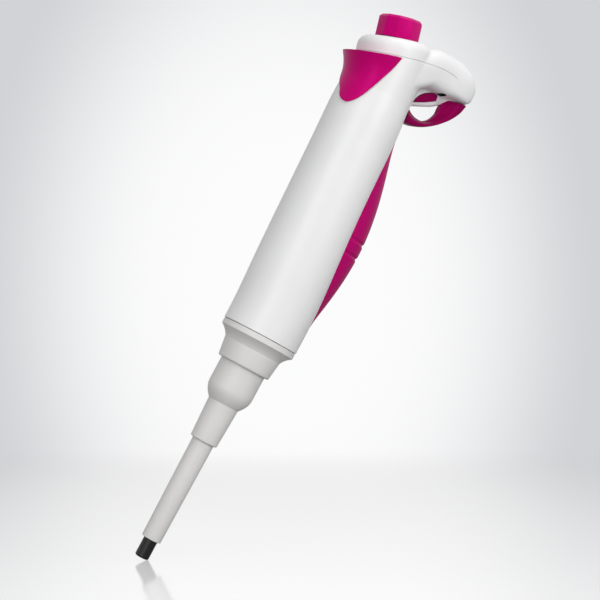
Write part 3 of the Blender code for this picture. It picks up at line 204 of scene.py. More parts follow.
def loft(name: str, rings: Sequence[Sequence[Sequence[float]]]) -> Piece:
    """Skin a row of closed rings with equal numbers of points, and close both ends."""
    data = bmesh.new()
    loops = [[data.verts.new(point) for point in ring] for ring in rings]
    count = len(loops[0])
    for lower, upper in zip(loops, loops[1:]):
        for index in range(count):
            following = (index + 1) % count
            data.faces.new((lower[index], lower[following], upper[following], upper[index]))
    data.faces.new(list(reversed(loops[0])))
    data.faces.new(loops[-1])
    return to_object(name, data)


def revolve(name: str, profile: Stations, steps: int = 128, place: Matrix | None = None) -> Piece:
    """Spin a closed profile of radius and height about the local Z axis.

    Args:
        name: Name of the piece.
        profile: Points of radius and height; it may start and end on the axis.
        steps: Spans round the axis.
        place: Where the finished mesh goes.

    Returns:
        The object, at the origin, with its place in its mesh.
    """
    data = bmesh.new()
    verts = [data.verts.new((radius, 0, height)) for radius, height in profile]
    pairs = list(zip(verts, verts[1:]))
    if profile[0][0] > 0:
        pairs.append((verts[-1], verts[0]))
    edges = [data.edges.new(pair) for pair in pairs]
    bmesh.ops.spin(data, geom=verts + edges, cent=(0, 0, 0), axis=(0, 0, 1), angle=2 * math.pi,
                   steps=steps, use_merge=True)
    if place is not None:
        data.transform(place)
    return to_object(name, data)


def tube(name: str, radii: Point, heights: Point, steps: int = 128, place: Matrix | None = None) -> Piece:
    """Return a tube about the local Z axis, or a cylinder where its inner radius is 0."""
    (inner, outer), (low, high) = radii, heights
    return revolve(name, [(inner, low), (outer, low), (outer, high), (inner, high)], steps, place)


def prism(name: str, outline: Stations, half_width: float, centre_y: float = 0.0) -> Piece:
    """Extrude an outline of x and z along Y, both ways from a centre."""
    near = [(x, centre_y - half_width, z) for x, z in outline]
    far = [(x, centre_y + half_width, z) for x, z in outline]
    return loft(name, [near, far])


def block(name: str, low: Sequence[float], high: Sequence[float], place: Matrix | None = None) -> Piece:
    """Return a box between two corners, for cutting."""
    made = prism(name, [(low[0], low[2]), (high[0], low[2]), (high[0], high[2]), (low[0], high[2])],
                 (high[1] - low[1]) / 2, (high[1] + low[1]) / 2)
    if place is not None:
        made.data.transform(place)
    return made


def settle(piece: Piece) -> Piece:
    """Turn a piece's modifiers into plain mesh."""
    bpy.context.view_layer.update()
    shape = piece.evaluated_get(bpy.context.evaluated_depsgraph_get())
    result = bpy.data.meshes.new_from_object(shape)
    piece.modifiers.clear()
    piece.data = result
    return piece


def combine(piece: Piece, tools: Sequence[Piece], operation: str) -> Piece:
    """Apply one exact boolean of several tools and remove them.

    Args:
        piece: The piece to change.
        tools: Closed meshes.
        operation: DIFFERENCE, UNION or INTERSECT.

    Returns:
        The changed piece.
    """
    group = bpy.data.collections.new("tools")
    for tool in tools:
        group.objects.link(tool)
    modifier = piece.modifiers.new("combine", "BOOLEAN")
    modifier.operation = operation
    modifier.solver = "EXACT"
    modifier.operand_type = "COLLECTION"
    modifier.collection = group
    settle(piece)
    for tool in list(tools):
        bpy.data.objects.remove(tool, do_unlink=True)
    bpy.data.collections.remove(group)
    return piece


def twin_of(piece: Piece) -> Piece:
    """Return a linked copy of a piece with its own mesh."""
    twin = piece.copy()
    twin.data = piece.data.copy()
    bpy.context.collection.objects.link(twin)
    return twin


def shade(piece: Piece, angle: float = 32.0) -> Piece:
    """Shade a piece smooth, but for edges sharper than an angle in degrees."""
    piece.data.shade_smooth()
    piece.data.set_sharp_from_angle(angle=math.radians(angle))
    return piece


def soften(piece: Piece, width: float, segments: int, angle: float) -> Piece:
    """Round a piece's edges that are sharper than an angle in degrees."""
    bevel = piece.modifiers.new("softened edge", "BEVEL")
    bevel.width = width
    bevel.segments = segments
    bevel.limit_method = "ANGLE"
    bevel.angle_limit = math.radians(angle)
    return settle(piece)


def relax(piece: Piece, rounds: int, group: str = "") -> Piece:
    """Even out a piece's skin in some rounds, or only a vertex group of it."""
    evening = piece.modifiers.new("even skin", "SMOOTH")
    evening.factor = 0.5
    evening.iterations = rounds
    evening.vertex_group = group
    return settle(piece)


class TreeBuilder:
    """Adds nodes to a tree, each with its inputs in the same call."""

    def __init__(self, tree: bpy.types.NodeTree) -> None:
        """Keep the tree."""
        self.tree = tree

    def feed(self, node: Node, inputs: dict[object, object]) -> Node:
        """Link or set inputs of a node.

        Args:
            node: The node.
            inputs: By input name or number, the socket or the value that it takes.

        Returns:
            The node.
        """
        for label, value in inputs.items():
            if isinstance(value, Socket):
                self.tree.links.new(value, node.inputs[label])
            else:
                node.inputs[label].default_value = value
        return node

    def node(self, kind: str, inputs: dict[object, object] | None = None, **settings: object) -> Node:
        """Add a node, with its properties set before its inputs."""
        made = self.tree.nodes.new(kind)
        for label, value in settings.items():
            setattr(made, label, value)
        return self.feed(made, inputs or {})

    def maths(self, operation: str, *values: object) -> Socket:
        """Add a Math node and return its result."""
        return self.node("ShaderNodeMath", dict(enumerate(values)), operation=operation).outputs[0]

    def mixed(self, share: object, first: object, second: object) -> Socket:
        """Mix two colours by a share from 0 to 1, through the Mix node's colour sockets 6 and 7."""
        return self.node("ShaderNodeMix", {"Factor": share, 6: first, 7: second}, data_type="RGBA").outputs[2]

    def blended(self, share: object, first: Node, second: Node) -> Node:
        """Mix the shaders of two nodes by a share from 0 to 1."""
        return self.node("ShaderNodeMixShader", {"Fac": share, 1: first.outputs[0], 2: second.outputs[0]})

    def finish(self, output: str, shader: Node) -> None:
        """Send a node's shader to the tree's own output node."""
        self.feed(self.tree.nodes[output], {"Surface": shader.outputs[0]})


class GroupMaker(TreeBuilder):
    """Builds a node group with named inputs and outputs."""

    def __init__(self, name: str, kind: str, inputs: dict[str, tuple[str, object]], outputs: dict[str, str]) -> None:
        """Start a group of a kind, with the kinds and first values of its sockets."""
        super().__init__(bpy.data.node_groups.new(name, kind))
        for label, (socket_kind, value) in inputs.items():
            socket = self.tree.interface.new_socket(label, in_out="INPUT", socket_type=f"NodeSocket{socket_kind}")
            if value is not None:
                socket.default_value = value
        for label, socket_kind in outputs.items():
            self.tree.interface.new_socket(label, in_out="OUTPUT", socket_type=f"NodeSocket{socket_kind}")
        self.inlet = self.tree.nodes.new("NodeGroupInput").outputs
        self.outlet = self.tree.nodes.new("NodeGroupOutput")


def surface_group(surface: Surface) -> bpy.types.NodeTree:
    """Build the texture of a kind of surface once.

    Args:
        surface: Moulded plastic, soft plastic or turned metal.

    Returns:
        A group that puts out a colour, a roughness and a height.
    """
    name = f"surface_{surface.value}"
    known = bpy.data.node_groups.get(name)
    if known is not None:
        return known
    soft = surface is Surface.SOFT
    group = GroupMaker(
        name, "ShaderNodeTree",
        {"Colour": ("Color", (0.8, 0.8, 0.8, 1.0)), "Shade": ("Color", (0.7, 0.7, 0.7, 1.0)),
         "Cloud Scale": ("Float", 60.0), "Grain Scale": ("Float", 2500.0),
         "Roughness": ("Float", 0.4), "Roughness Swing": ("Float", 0.05)},
        {"Colour": "Color", "Roughness": "Float", "Height": "Float"})
    source = group.node("ShaderNodeTexCoord").outputs["Object"]
    if surface is Surface.TURNED:
        # the tool's marks run round the axis, so the noise is squeezed across and fine along Z
        source = group.node("ShaderNodeVectorMath", {0: source, 1: (0.04, 0.04, 1.0)}, operation="MULTIPLY").outputs[0]
    cloud = group.node("ShaderNodeTexNoise", {"Vector": source, "Scale": group.inlet["Cloud Scale"],
                                              "Detail": 4.0, "Roughness": 0.55})
    grain = group.node("ShaderNodeTexVoronoi" if soft else "ShaderNodeTexNoise",
                       {"Vector": source, "Scale": group.inlet["Grain Scale"]})
    share = group.node("ShaderNodeMapRange", {"Value": cloud.outputs[0], "From Min": 0.38, "From Max": 0.66}).outputs[0]
    swing = group.maths("SUBTRACT", share, 0.5)
    group.feed(group.outlet, {
        "Colour": group.mixed(share, group.inlet["Shade"], group.inlet["Colour"]),
        "Roughness": group.maths("MULTIPLY_ADD", swing, group.inlet["Roughness Swing"], group.inlet["Roughness"]),
        "Height": grain.outputs["Distance" if soft else 0]})
    return group.tree


@dataclass(frozen=True)
class Finish:
    """One finish: the colour as a linear value, its darker shade and its fine texture."""

    name: str
    slot: str
    colour: Colour
    roughness: float
    surface: Surface = Surface.MOULDED
    metallic: float = 0.0
    shade: float = 0.96
    cloud_scale: float = 60.0
    grain_scale: float = 2400.0
    swing: float = 0.06
    depth: float = 0.004 * MM
    relief: float = 0.6
    specular: float = 0.5
    tint: Colour = (1.0, 1.0, 1.0)

    def material(self) -> bpy.types.Material:
        """Return the finish's material, made once."""
        label = f"{self.name}_finish"
        known = bpy.data.materials.get(label)
        if known is not None:
            return known
        made = bpy.data.materials.new(label)
        made.use_nodes = True
        maker = TreeBuilder(made.node_tree)
        texture = maker.node("ShaderNodeGroup", {
            "Colour": (*self.colour, 1.0), "Shade": (*[self.shade * part for part in self.colour], 1.0),
            "Cloud Scale": self.cloud_scale, "Grain Scale": self.grain_scale,
            "Roughness": self.roughness, "Roughness Swing": self.swing}, node_tree=surface_group(self.surface))
        relief = maker.node("ShaderNodeBump", {"Height": texture.outputs["Height"], "Distance": self.depth,
                                               "Strength": self.relief})
        maker.feed(maker.tree.nodes["Principled BSDF"], {
            "Base Color": texture.outputs["Colour"], "Roughness": texture.outputs["Roughness"],
            "Normal": relief.outputs["Normal"], "Metallic": self.metallic,
            "Specular IOR Level": self.specular, "Specular Tint": (*self.tint, 1.0)})
        return made

    def dress(self, piece: Piece) -> None:
        """Give a piece this finish alone."""
        piece.data.materials.clear()
        piece.data.materials.append(self.material())


PINK = (1.0, 0.06, 0.45)
WHITE = Finish("white_plastic", "white_plastic", (0.84, 0.84, 0.84), 0.36, shade=0.985, specular=0.4)
PALE = Finish("pale_plastic", "pale_plastic", (0.73, 0.72, 0.705), 0.42, shade=0.98, specular=0.3)
MAGENTA = Finish("magenta_plastic", "magenta_plastic", (0.57, 0.002, 0.165), 0.30, shade=0.94, specular=0.3,
                 tint=PINK)
# darker copy of the magenta plastic, in the same slot, for the finger ring and hook inlay: painted shade where they sit
# under the hook
SHADED_MAGENTA = Finish("shaded_magenta_plastic", "magenta_plastic", (0.25, 0.001, 0.068), 0.34, shade=0.92,
                      specular=0.2, tint=PINK)
GRIP = Finish("magenta_grip", "magenta_grip", (0.47, 0.003, 0.14), 0.48, Surface.SOFT, shade=0.93,
              grain_scale=1800.0, depth=0.01 * MM, specular=0.2, tint=PINK)
BLACK = Finish("black_plastic", "black_plastic", (0.006, 0.006, 0.007), 0.34, shade=0.8)
STEEL = Finish("steel", "steel", (0.60, 0.60, 0.62), 0.26, Surface.TURNED, 1.0, shade=0.88, cloud_scale=900.0,
               grain_scale=4000.0, swing=0.12)
BRASS = Finish("brass", "brass", (0.72, 0.52, 0.22), 0.30, Surface.TURNED, 1.0, shade=0.85, cloud_scale=700.0,
               grain_scale=3600.0, swing=0.12)
RUBBER = Finish("seal_rubber", "seal_rubber", (0.35, 0.03, 0.02), 0.60, Surface.SOFT, shade=0.85)
SEAL = Finish("seal_plastic", "seal_plastic", (0.88, 0.88, 0.86), 0.50, shade=0.95)
DRUM = Finish("drum_plastic", "drum_plastic", (0.84, 0.84, 0.82), 0.52, shade=0.96)
INK = Finish("drum_ink", "drum_plastic", (0.012, 0.012, 0.014), 0.55, shade=0.7)


class ClearFinish(Finish):
    """Clear moulded plastic, with faint clouding in its gloss."""

    def material(self) -> bpy.types.Material:
        """Return the finish's material."""
        made = bpy.data.materials.new(f"{self.name}_finish")
        made.use_nodes = True
        maker = TreeBuilder(made.node_tree)
        place = maker.node("ShaderNodeTexCoord").outputs["Object"]
        cloud = maker.node("ShaderNodeTexNoise", {"Vector": place, "Scale": self.cloud_scale})
        gloss = maker.node("ShaderNodeMapRange", {
            "Value": cloud.outputs[0], "To Min": self.roughness, "To Max": self.roughness + self.swing})
        maker.feed(maker.tree.nodes["Principled BSDF"], {
            "Base Color": (*self.colour, 1.0), "Transmission Weight": 1.0, "IOR": 1.49,
            "Roughness": gloss.outputs[0]})
        return made


LENS = ClearFinish("clear_lens", "clear_lens", (0.93, 0.96, 0.98), 0.02, cloud_scale=300.0, swing=0.05)


def hand_over(piece: Piece, body: Body, finish: Finish, *nodes: str) -> Piece:
    """Dress a finished piece, put it on its body and let it stand for CAD nodes.

    Args:
        piece: The piece, with its place in its mesh.
        body: The body that it rides on.
        finish: Its finish.
        nodes: CAD nodes that it replaces.

    Returns:
        The piece.
    """
    finish.dress(piece)
    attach(piece, body.value)
    if nodes:
        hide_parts(*nodes)
    LOG.info("%s: %d faces on %s", piece.name, len(piece.data.polygons), body.value)
    return piece


@dataclass
class BodyForm:
    """Outer form of handle, neck and head: round rings on a leaning centre line."""

    foot_radius: float = 16.0 * MM
    belly_radius: float = 16.3 * MM
    waist_radius: float = 15.6 * MM
    neck_radius: float = 14.95 * MM
    belly_at: float = 0.28
    waist_at: float = 0.92
    neck_at: float = 1.08
    neck_rise: float = 3.0 * MM
    straight_length: float = 4.6 * MM
    lean: float = 0.064
    lean_ease: float = 12.0 * MM
    boss_top: float = 28.8 * MM
    boss_radius: float = 15.0 * MM
    boss_rounding: float = 3.8 * MM
    boss_slope: float = 0.052
    steps: int = 96
    handle_spans: int = 28
    neck_spans: int = 16
    rim_spans: int = 10

    def radius(self, height: float) -> float:
        """Outer radius of the handle at a height."""
        return eased(((HANDLE_FOOT, self.foot_radius),
                      (HANDLE_FOOT + self.belly_at * HANDLE_LENGTH, self.belly_radius),
                      (HANDLE_FOOT + self.waist_at * HANDLE_LENGTH, self.waist_radius),
                      (HANDLE_FOOT + self.neck_at * HANDLE_LENGTH, self.neck_radius)), height)

    def centre(self, height: float) -> float:
        """X of the centre line at a height: it leans towards the ejector button."""
        rise = max(height - HANDLE_FOOT - self.straight_length, 0.0)
        return -self.lean * rise * rise / (rise + self.lean_ease)

    def ring(self, centre: Vector, tilt: float, radius: float) -> list[Vector]:
        """Points of a circle round a centre, tipped towards -X by the tilt."""
        turn = Matrix.Rotation(-tilt, 3, "Y")
        angles = [2 * math.pi * index / self.steps for index in range(self.steps)]
        return [centre + turn @ Vector((radius * math.cos(a), radius * math.sin(a), 0)) for a in angles]

    def rings(self, inset: float = 0.0, low: float = HANDLE_FOOT, rounded: bool = False) -> list[list[Vector]]:
        """Rings of the form from its foot to the head's top.

        Args:
            inset: How far the form is drawn in.
            low: Height of the first ring.
            rounded: Whether the head's top edge is rounded and its top slopes.

        Returns:
            The rings, in order upwards.
        """
        neck_z = PIVOT + self.neck_rise
        made = []
        for share in shares(self.handle_spans):
            height = mix(low, neck_z, share)
            made.append(self.ring(Vector((self.centre(height), 0, height)), 0.0, self.radius(height) - inset))
        neck = Vector((self.centre(neck_z), 0, neck_z))
        part = HEAD @ Vector((0, 0, PART_LINE))
        for share in shares(self.neck_spans)[1:]:
            radius = mix(self.neck_radius, self.boss_radius, share) - inset
            made.append(self.ring(neck.lerp(part, share), HEAD_TILT * smooth(share), radius))
        top_radius = self.boss_radius - inset
        rim = [(top_radius, self.boss_top)]
        if rounded:
            rim = arc((top_radius - self.boss_rounding, self.boss_top - self.boss_rounding),
                      self.boss_rounding, 0, 90, self.rim_spans)
        slope = self.boss_slope if rounded else 0.0
        upwards = HEAD.to_3x3() @ Vector((0, 0, 1))
        for radius, rise in rim:
            ring = self.ring(HEAD @ Vector((0, 0, rise)), HEAD_TILT, radius)
            lifts = [slope * (self.boss_radius + radius * math.cos(2 * math.pi * index / self.steps))
                     for index in range(self.steps)]
            made.append([point + upwards * lift for point, lift in zip(ring, lifts)])
        return made


@dataclass
class HookForm:
    """The finger hook: sections of x, top, lower edge, keel and half width, in millimetres."""

    stations: tuple[tuple[float, ...], ...] = (
        (-3, 27, 12.0, 3.4, 14.0), (2, 31, 15.2, 5.4, 13.1), (6, 33.6, 18.3, 7.0, 12.1),
        (10, 34.4, 21.4, 8.9, 11.0), (14, 35.1, 22.5, 10.9, 10.0), (18, 35.4, 23.1, 13.1, 9.2),
        (22.3, 35.2, 22.6, 15.6, 8.7), (22.6, 35.1, 22.6, 16.6, 8.7), (26, 34.4, 22.3, 18.4, 8.1),
        (29.5, 32.9, 22.2, 20.2, 7), (32, 30.8, 22.8, 21.4, 5.4), (33.6, 28, 23.8, 22.3, 3.4))
    keel_half_width: float = 3.2 * MM
    keel_end_half_width: float = 1.2 * MM
    keel_narrows: Point = (18.6 * MM, 22.0 * MM)
    keel_bevel: float = 0.6 * MM
    keel_side: float = 1.0 * MM
    keel_limit: float = 0.8
    edge_height: float = 1.2 * MM
    squareness: float = 0.55
    belly: float = 4.2 * MM
    belly_limit: float = 0.45
    belly_squareness: float = 0.8
    corner_spans: int = 16
    station_spans: int = 6
    curve_spans: int = 12

    def keel(self, x: float) -> float:
        """Height of the keel line above the head axis's foot."""
        return straight([(station[0] * MM, station[3] * MM) for station in self.stations], x)

    def section(self, station: Sequence[float]) -> list[Vector]:
        """One cross-section: squarish top, rounded underside and keel."""
        x, top, edge, keel, half = [value * MM for value in station]
        widths = zip(self.keel_narrows, (self.keel_half_width, self.keel_end_half_width))
        keel_half = min(eased(list(widths), x), self.keel_limit * half)
        keel_side = min(keel + self.keel_side, (keel + edge) / 2)
        base = edge + self.edge_height
        belly = min(self.belly, self.belly_limit * (edge - keel_side))
        turns = [math.radians(90 * share) for share in shares(self.corner_spans)]
        outline = [(mix(0.0, half, max(math.cos(turn), 0.0) ** self.squareness),
                    mix(base, top, max(math.sin(turn), 0.0) ** self.squareness)) for turn in turns[::-1]]
        outline += [(mix(keel_half, half, max(math.cos(turn), 0.0) ** self.belly_squareness),
                     edge - belly * math.sin(turn) ** self.belly_squareness) for turn in turns]
        outline += [(keel_half, keel_side), (keel_half - self.keel_bevel, keel)]
        right = [Vector((x, across, PIVOT + rise)) for across, rise in outline]
        left = [Vector((x, -point.y, point.z)) for point in reversed(right[1:])]
        return right + left

    def form(self) -> Piece:
        """The hook as a closed smooth form."""
        dense = []
        for first, second in zip(self.stations, self.stations[1:]):
            # the step in the keel stays a step
            count = 1 if second[0] - first[0] < 1 else self.station_spans
            dense += [(first, second, share) for share in shares(count)[:-1]]
        rings = []
        keel = [(station[0], station[3]) for station in self.stations]
        fine = curved([(station[0], station[1], station[2], station[4]) for station in self.stations],
                      self.curve_spans)
        for first, second, share in dense:
            x = mix(first[0], second[0], share)
            near = min(fine, key=lambda point: abs(point[0] - x))
            rings.append(self.section((x, near[1], near[2], straight(keel, x), near[3])))
        rings.append(self.section(self.stations[-1]))
        return loft("hook_form", rings)


@dataclass
class Housing:
    """White handle shell and head cover, carved from one smooth form."""

    form: BodyForm
    hook: HookForm
    grip: "PalmGrip"
    wall: float = 1.6 * MM
    cover_wall: float = 1.8 * MM
    socket_radius: float = 14.4 * MM
    socket_depth: float = 11.5 * MM
    voxel: float = 0.55 * MM
    smoothing: int = 18
    hook_smoothing: int = 26
    underside_start: float = 9.0 * MM
    underside_fade: float = 4.0 * MM
    underside_top: float = 29.0 * MM
    underside_top_fade: float = 5.0 * MM
    bore_radius: float = 9.4 * MM
    bore_wall: float = 1.45 * MM
    screw_x: float = 18.5 * MM
    screw_seat: float = 22.4 * MM
    screw_mouth: float = 18.7 * MM
    hole_radius: float = 1.9 * MM
    hole_y: float = 5.05 * MM
    # black sleeves in the screw holes: painted shade
    liner_radius: float = 1.84 * MM
    liner_bore: float = 1.62 * MM
    liner_gap: float = 0.1 * MM
    screw_shank: float = 1.2 * MM
    screw_length: float = 7.3 * MM
    screw_steps: int = 48
    inlay_start: float = 9.6 * MM
    inlay_length: float = 9.0 * MM
    inlay_lift: float = 0.9 * MM
    seam: float = 0.14 * MM
    seam_narrows: float = 18.0 * MM
    seam_fade: float = 3.0 * MM
    seam_loss: float = 0.8
    inlay_height: float = 4.1 * MM
    inlay_margin: float = 2.2 * MM
    inlay_foot: float = 0.2 * MM
    inlay_overhang: float = 0.3 * MM
    inlay_softening: float = 0.35 * MM
    window_half: float = 3.3 * MM
    window_low: float = 7.4 * MM
    window_high: float = 17.2 * MM
    window_depth: float = 1.7 * MM
    slot_half: float = 2.4 * MM
    slot_height: float = 4.3 * MM
    spare: Piece | None = None
    bend: tuple[Point, ...] = ((-20.0, 0.6), (-9.0, 0.9), (-5.0, 1.15), (-1.0, 1.3), (5.0, 1.4), (9.0, 1.3),
                               (13.0, 0.9), (17.0, 0.1), (18.5, -0.4), (20.0, -1.2), (22.0, -3.4), (25.0, -6.8),
                               (30.0, -9.7), (38.0, -13.2))

    def blank(self) -> Piece:
        """Handle, neck, boss and hook as one form with the joins rounded."""
        blank = loft("housing_form", self.form.rings(rounded=True, low=BLANK_FOOT))
        combine(blank, [self.hook.form()], "UNION")
        remesh = blank.modifiers.new("joined skin", "REMESH")
        remesh.mode = "VOXEL"
        remesh.voxel_size = self.voxel
        relax(blank, self.smoothing)
        underside = blank.vertex_groups.new(name="hook underside")
        for vertex in blank.data.vertices:
            weight = (smooth((vertex.co.x - self.underside_start) / self.underside_fade)
                      * smooth((PIVOT + self.underside_top - vertex.co.z) / self.underside_top_fade))
            if weight > 0:
                underside.add([vertex.index], weight, "REPLACE")
        relax(blank, self.hook_smoothing, underside.name)
        blank.vertex_groups.clear()
        return blank

    def part_outline(self, offset: float, limit: float) -> list[Point]:
        """Side view of the region on one side of the part line."""
        points = [(-REACH, self.bend[0][1] * MM)] + [(x * MM, drop * MM) for x, drop in curved(self.bend, 5)]
        outline = []
        for x, drop in points:
            level = (PART_LINE + x * math.sin(HEAD_TILT)) / math.cos(HEAD_TILT)
            kept = 1 - self.seam_loss * smooth((x - self.seam_narrows) / self.seam_fade)
            outline.append((x, PIVOT + level + drop + offset * kept))
        return outline + [(outline[-1][0], limit), (outline[0][0], limit)]

    def screw_axis(self, side: int) -> Matrix:
        """Where one of the two hook screws stands."""
        return Matrix.Translation((self.screw_x, side * self.hole_y, 0))

    def screw_hole(self, side: int) -> Piece:
        """Counterbored hole from below the hook into the cover."""
        mouth, seat = PIVOT + self.screw_mouth, PIVOT + self.screw_seat
        end = seat + self.screw_length
        return revolve("screw", [(0, mouth), (self.hole_radius, mouth), (self.hole_radius, seat),
                                 (self.screw_shank, seat), (self.screw_shank, end), (0, end)],
                       self.screw_steps, self.screw_axis(side))

    def build_liners(self, blank: Piece) -> None:
        """Black sleeves in the two screw holes, flush with the hook's underside: painted shade that makes the holes
        read deep.

        Args:
            blank: The smooth form, which is used up.
        """
        heights = (PIVOT + self.screw_mouth, PIVOT + self.screw_seat - self.liner_gap)
        # black tubes stand for the shade deep in the holes: painted shade
        first, second = [tube("liner", (self.liner_bore, self.liner_radius), heights, self.screw_steps,
                              self.screw_axis(side)) for side in (1, -1)]
        tubes = combine(first, [second], "UNION")
        combine(tubes, [blank], "INTERSECT")
        tubes.name = "screw_hole_liners"
        hand_over(shade(tubes), Body.HANDLE, BLACK)

    def inlay_outline(self, grow: float) -> list[Point]:
        """D-shaped outline above the keel."""
        start = self.inlay_start - grow
        end = self.inlay_start + self.inlay_length + grow

        def corner(share: float, rise: float) -> Point:
            """Point at a share of the length, at a height above the inlay's foot."""
            x = mix(start, end, share)
            return x, PIVOT + self.hook.keel(x) + self.inlay_margin + self.inlay_lift * share ** 2 + rise

        top = self.inlay_height + grow
        drop = grow if grow > 0 else self.inlay_foot
        outline = [corner(share, top * math.sqrt(max(1 - (2 * share - 1) ** 2, 0.0))) for share in shares(32)]
        return outline + [corner(share, -drop) for share in reversed(shares(8))]

    def build_shell(self, blank: Piece, neck: float) -> None:
        """White handle below the part line, hollow, with its openings.

        Args:
            blank: The smooth form, which is used up.
            neck: Underside of the ejector button's neck.
        """
        hollow = loft("hollow", self.form.rings(self.wall, low=HANDLE_RIM - OVERRUN))
        socket = tube("socket", (0, self.socket_radius), (HANDLE_RIM - OVERRUN, HANDLE_FOOT + self.socket_depth))
        slot_back = self.form.centre(PIVOT) - self.form.neck_radius + self.wall + OVERRUN
        slot = block("slot", (-REACH, -self.slot_half, neck - EJECT_TRAVEL - RUN),
                     (slot_back, self.slot_half, neck + self.slot_height))
        above = prism("above", self.part_outline(-self.seam / 2, PIVOT + 4 * self.form.boss_radius), REACH)
        foot = block("foot", (-REACH, -REACH, HANDLE_RIM - REACH), (REACH, REACH, HANDLE_RIM))
        tools = [hollow, socket, slot, above, foot, self.window(0.0), self.grip.solid("grip_seat", GAP, 24),
                 prism("inlay_seat", self.inlay_outline(GAP), REACH), self.screw_hole(-1), self.screw_hole(1)]
        shell = combine(blank, tools, "DIFFERENCE")
        shell.name = "handle_shell_skin"
        hand_over(shade(shell, 40), Body.HANDLE, WHITE, "handle_shell")

    def build_cover(self, blank: Piece) -> None:
        """White head cover above the part line, with the knob's bore.

        Args:
            blank: The smooth form, which is used up.
        """
        wall = self.bore_radius + self.bore_wall
        low = PART_LINE - self.form.boss_radius * math.tan(HEAD_TILT) - OVERRUN
        high = self.form.boss_top - self.cover_wall
        outer = self.form.boss_radius - self.wall
        hollow = tube("hollow", (wall, outer), (low, high), 96, HEAD)
        bore = tube("bore", (0, self.bore_radius), (low - REACH, self.form.boss_top + OVERRUN), 96, HEAD)
        below = prism("below", self.part_outline(self.seam / 2, BLANK_FOOT - OVERRUN), REACH)
        cover = combine(blank, [below, hollow, bore, self.screw_hole(-1), self.screw_hole(1)], "DIFFERENCE")
        cover.name = "head_cover_skin"
        hand_over(shade(cover, 40), Body.HANDLE, WHITE, "head_cover")

    def window(self, inset: float) -> Piece:
        """Straight-sided opening over the digit drums."""
        half = self.window_half - inset
        low = (-half, self.form.neck_radius - OVERRUN, self.window_low + inset)
        high = (half, self.form.neck_radius + OVERRUN, self.window_high - inset)
        return block("window", low, high, HEAD)

    def build_lens(self) -> None:
        """Clear pane in the window: flat inside, curved outside like the handle."""
        lens = self.window(GAP)
        lens.name = "display_lens_pane"
        combine(lens, [loft("form", self.form.rings())], "INTERSECT")
        depth = math.sqrt(self.form.neck_radius ** 2 - self.window_half ** 2) - self.window_depth
        inside = block("inside", (-REACH, 0, PIVOT), (REACH, depth, PIVOT + REACH))
        combine(lens, [inside], "DIFFERENCE")
        hand_over(shade(lens), Body.HANDLE, LENS, "display_lens")

    def build_inlay(self) -> None:
        """Magenta D-shaped inlay in the hook's keel, with softened edges."""
        inlay = prism("hook_inlay_piece", self.inlay_outline(0.0),
                      self.hook.keel_half_width + self.inlay_overhang)
        soften(inlay, self.inlay_softening, 4, 50)
        # the inlay takes the darker magenta copy: painted shade under the hook
        hand_over(shade(inlay), Body.HANDLE, SHADED_MAGENTA, "hook_inlay")

    def build(self, neck: float) -> None:
        """Build shell, cover, lens and inlay."""
        blank = self.blank()
        twin, form, self.spare = (twin_of(blank) for _ in range(3))
        self.build_liners(form)
        self.build_shell(blank, neck)
        self.build_cover(twin)
        self.build_lens()
        self.build_inlay()


class TreeMaker(GroupMaker):
    """Builds a Geometry Nodes tree with named inputs."""

    def __init__(self, name: str, inputs: dict[str, float]) -> None:
        """Start a tree that takes and gives geometry."""
        numbers = {label: ("Float", value) for label, value in inputs.items()}
        super().__init__(name, "GeometryNodeTree", {"Geometry": ("Geometry", None), **numbers},
                         {"Geometry": "Geometry"})

    def close(self, geometry: Socket, finish: Finish) -> None:
        """End the tree in Realize Instances and Set Material."""
        real = self.node("GeometryNodeRealizeInstances", {"Geometry": geometry})
        dressed = self.node("GeometryNodeSetMaterial", {"Geometry": real.outputs[0], "Material": finish.material()})
        self.feed(self.outlet, {"Geometry": dressed.outputs[0]})

    def apply(self, piece: Piece, values: dict[str, float]) -> Piece:
        """Run the tree on a piece with its inputs set by their sockets' identifiers.

        Args:
            piece: The piece that carries the modifier.
            values: Input values by name.

        Returns:
            The piece as plain mesh.
        """
        modifier = piece.modifiers.new(self.tree.name, "NODES")
        modifier.node_group = self.tree
        for item in self.tree.interface.items_tree:
            if item.item_type == "SOCKET" and item.in_out == "INPUT" and item.name in values:
                modifier[item.identifier] = values[item.name]
        return settle(piece)


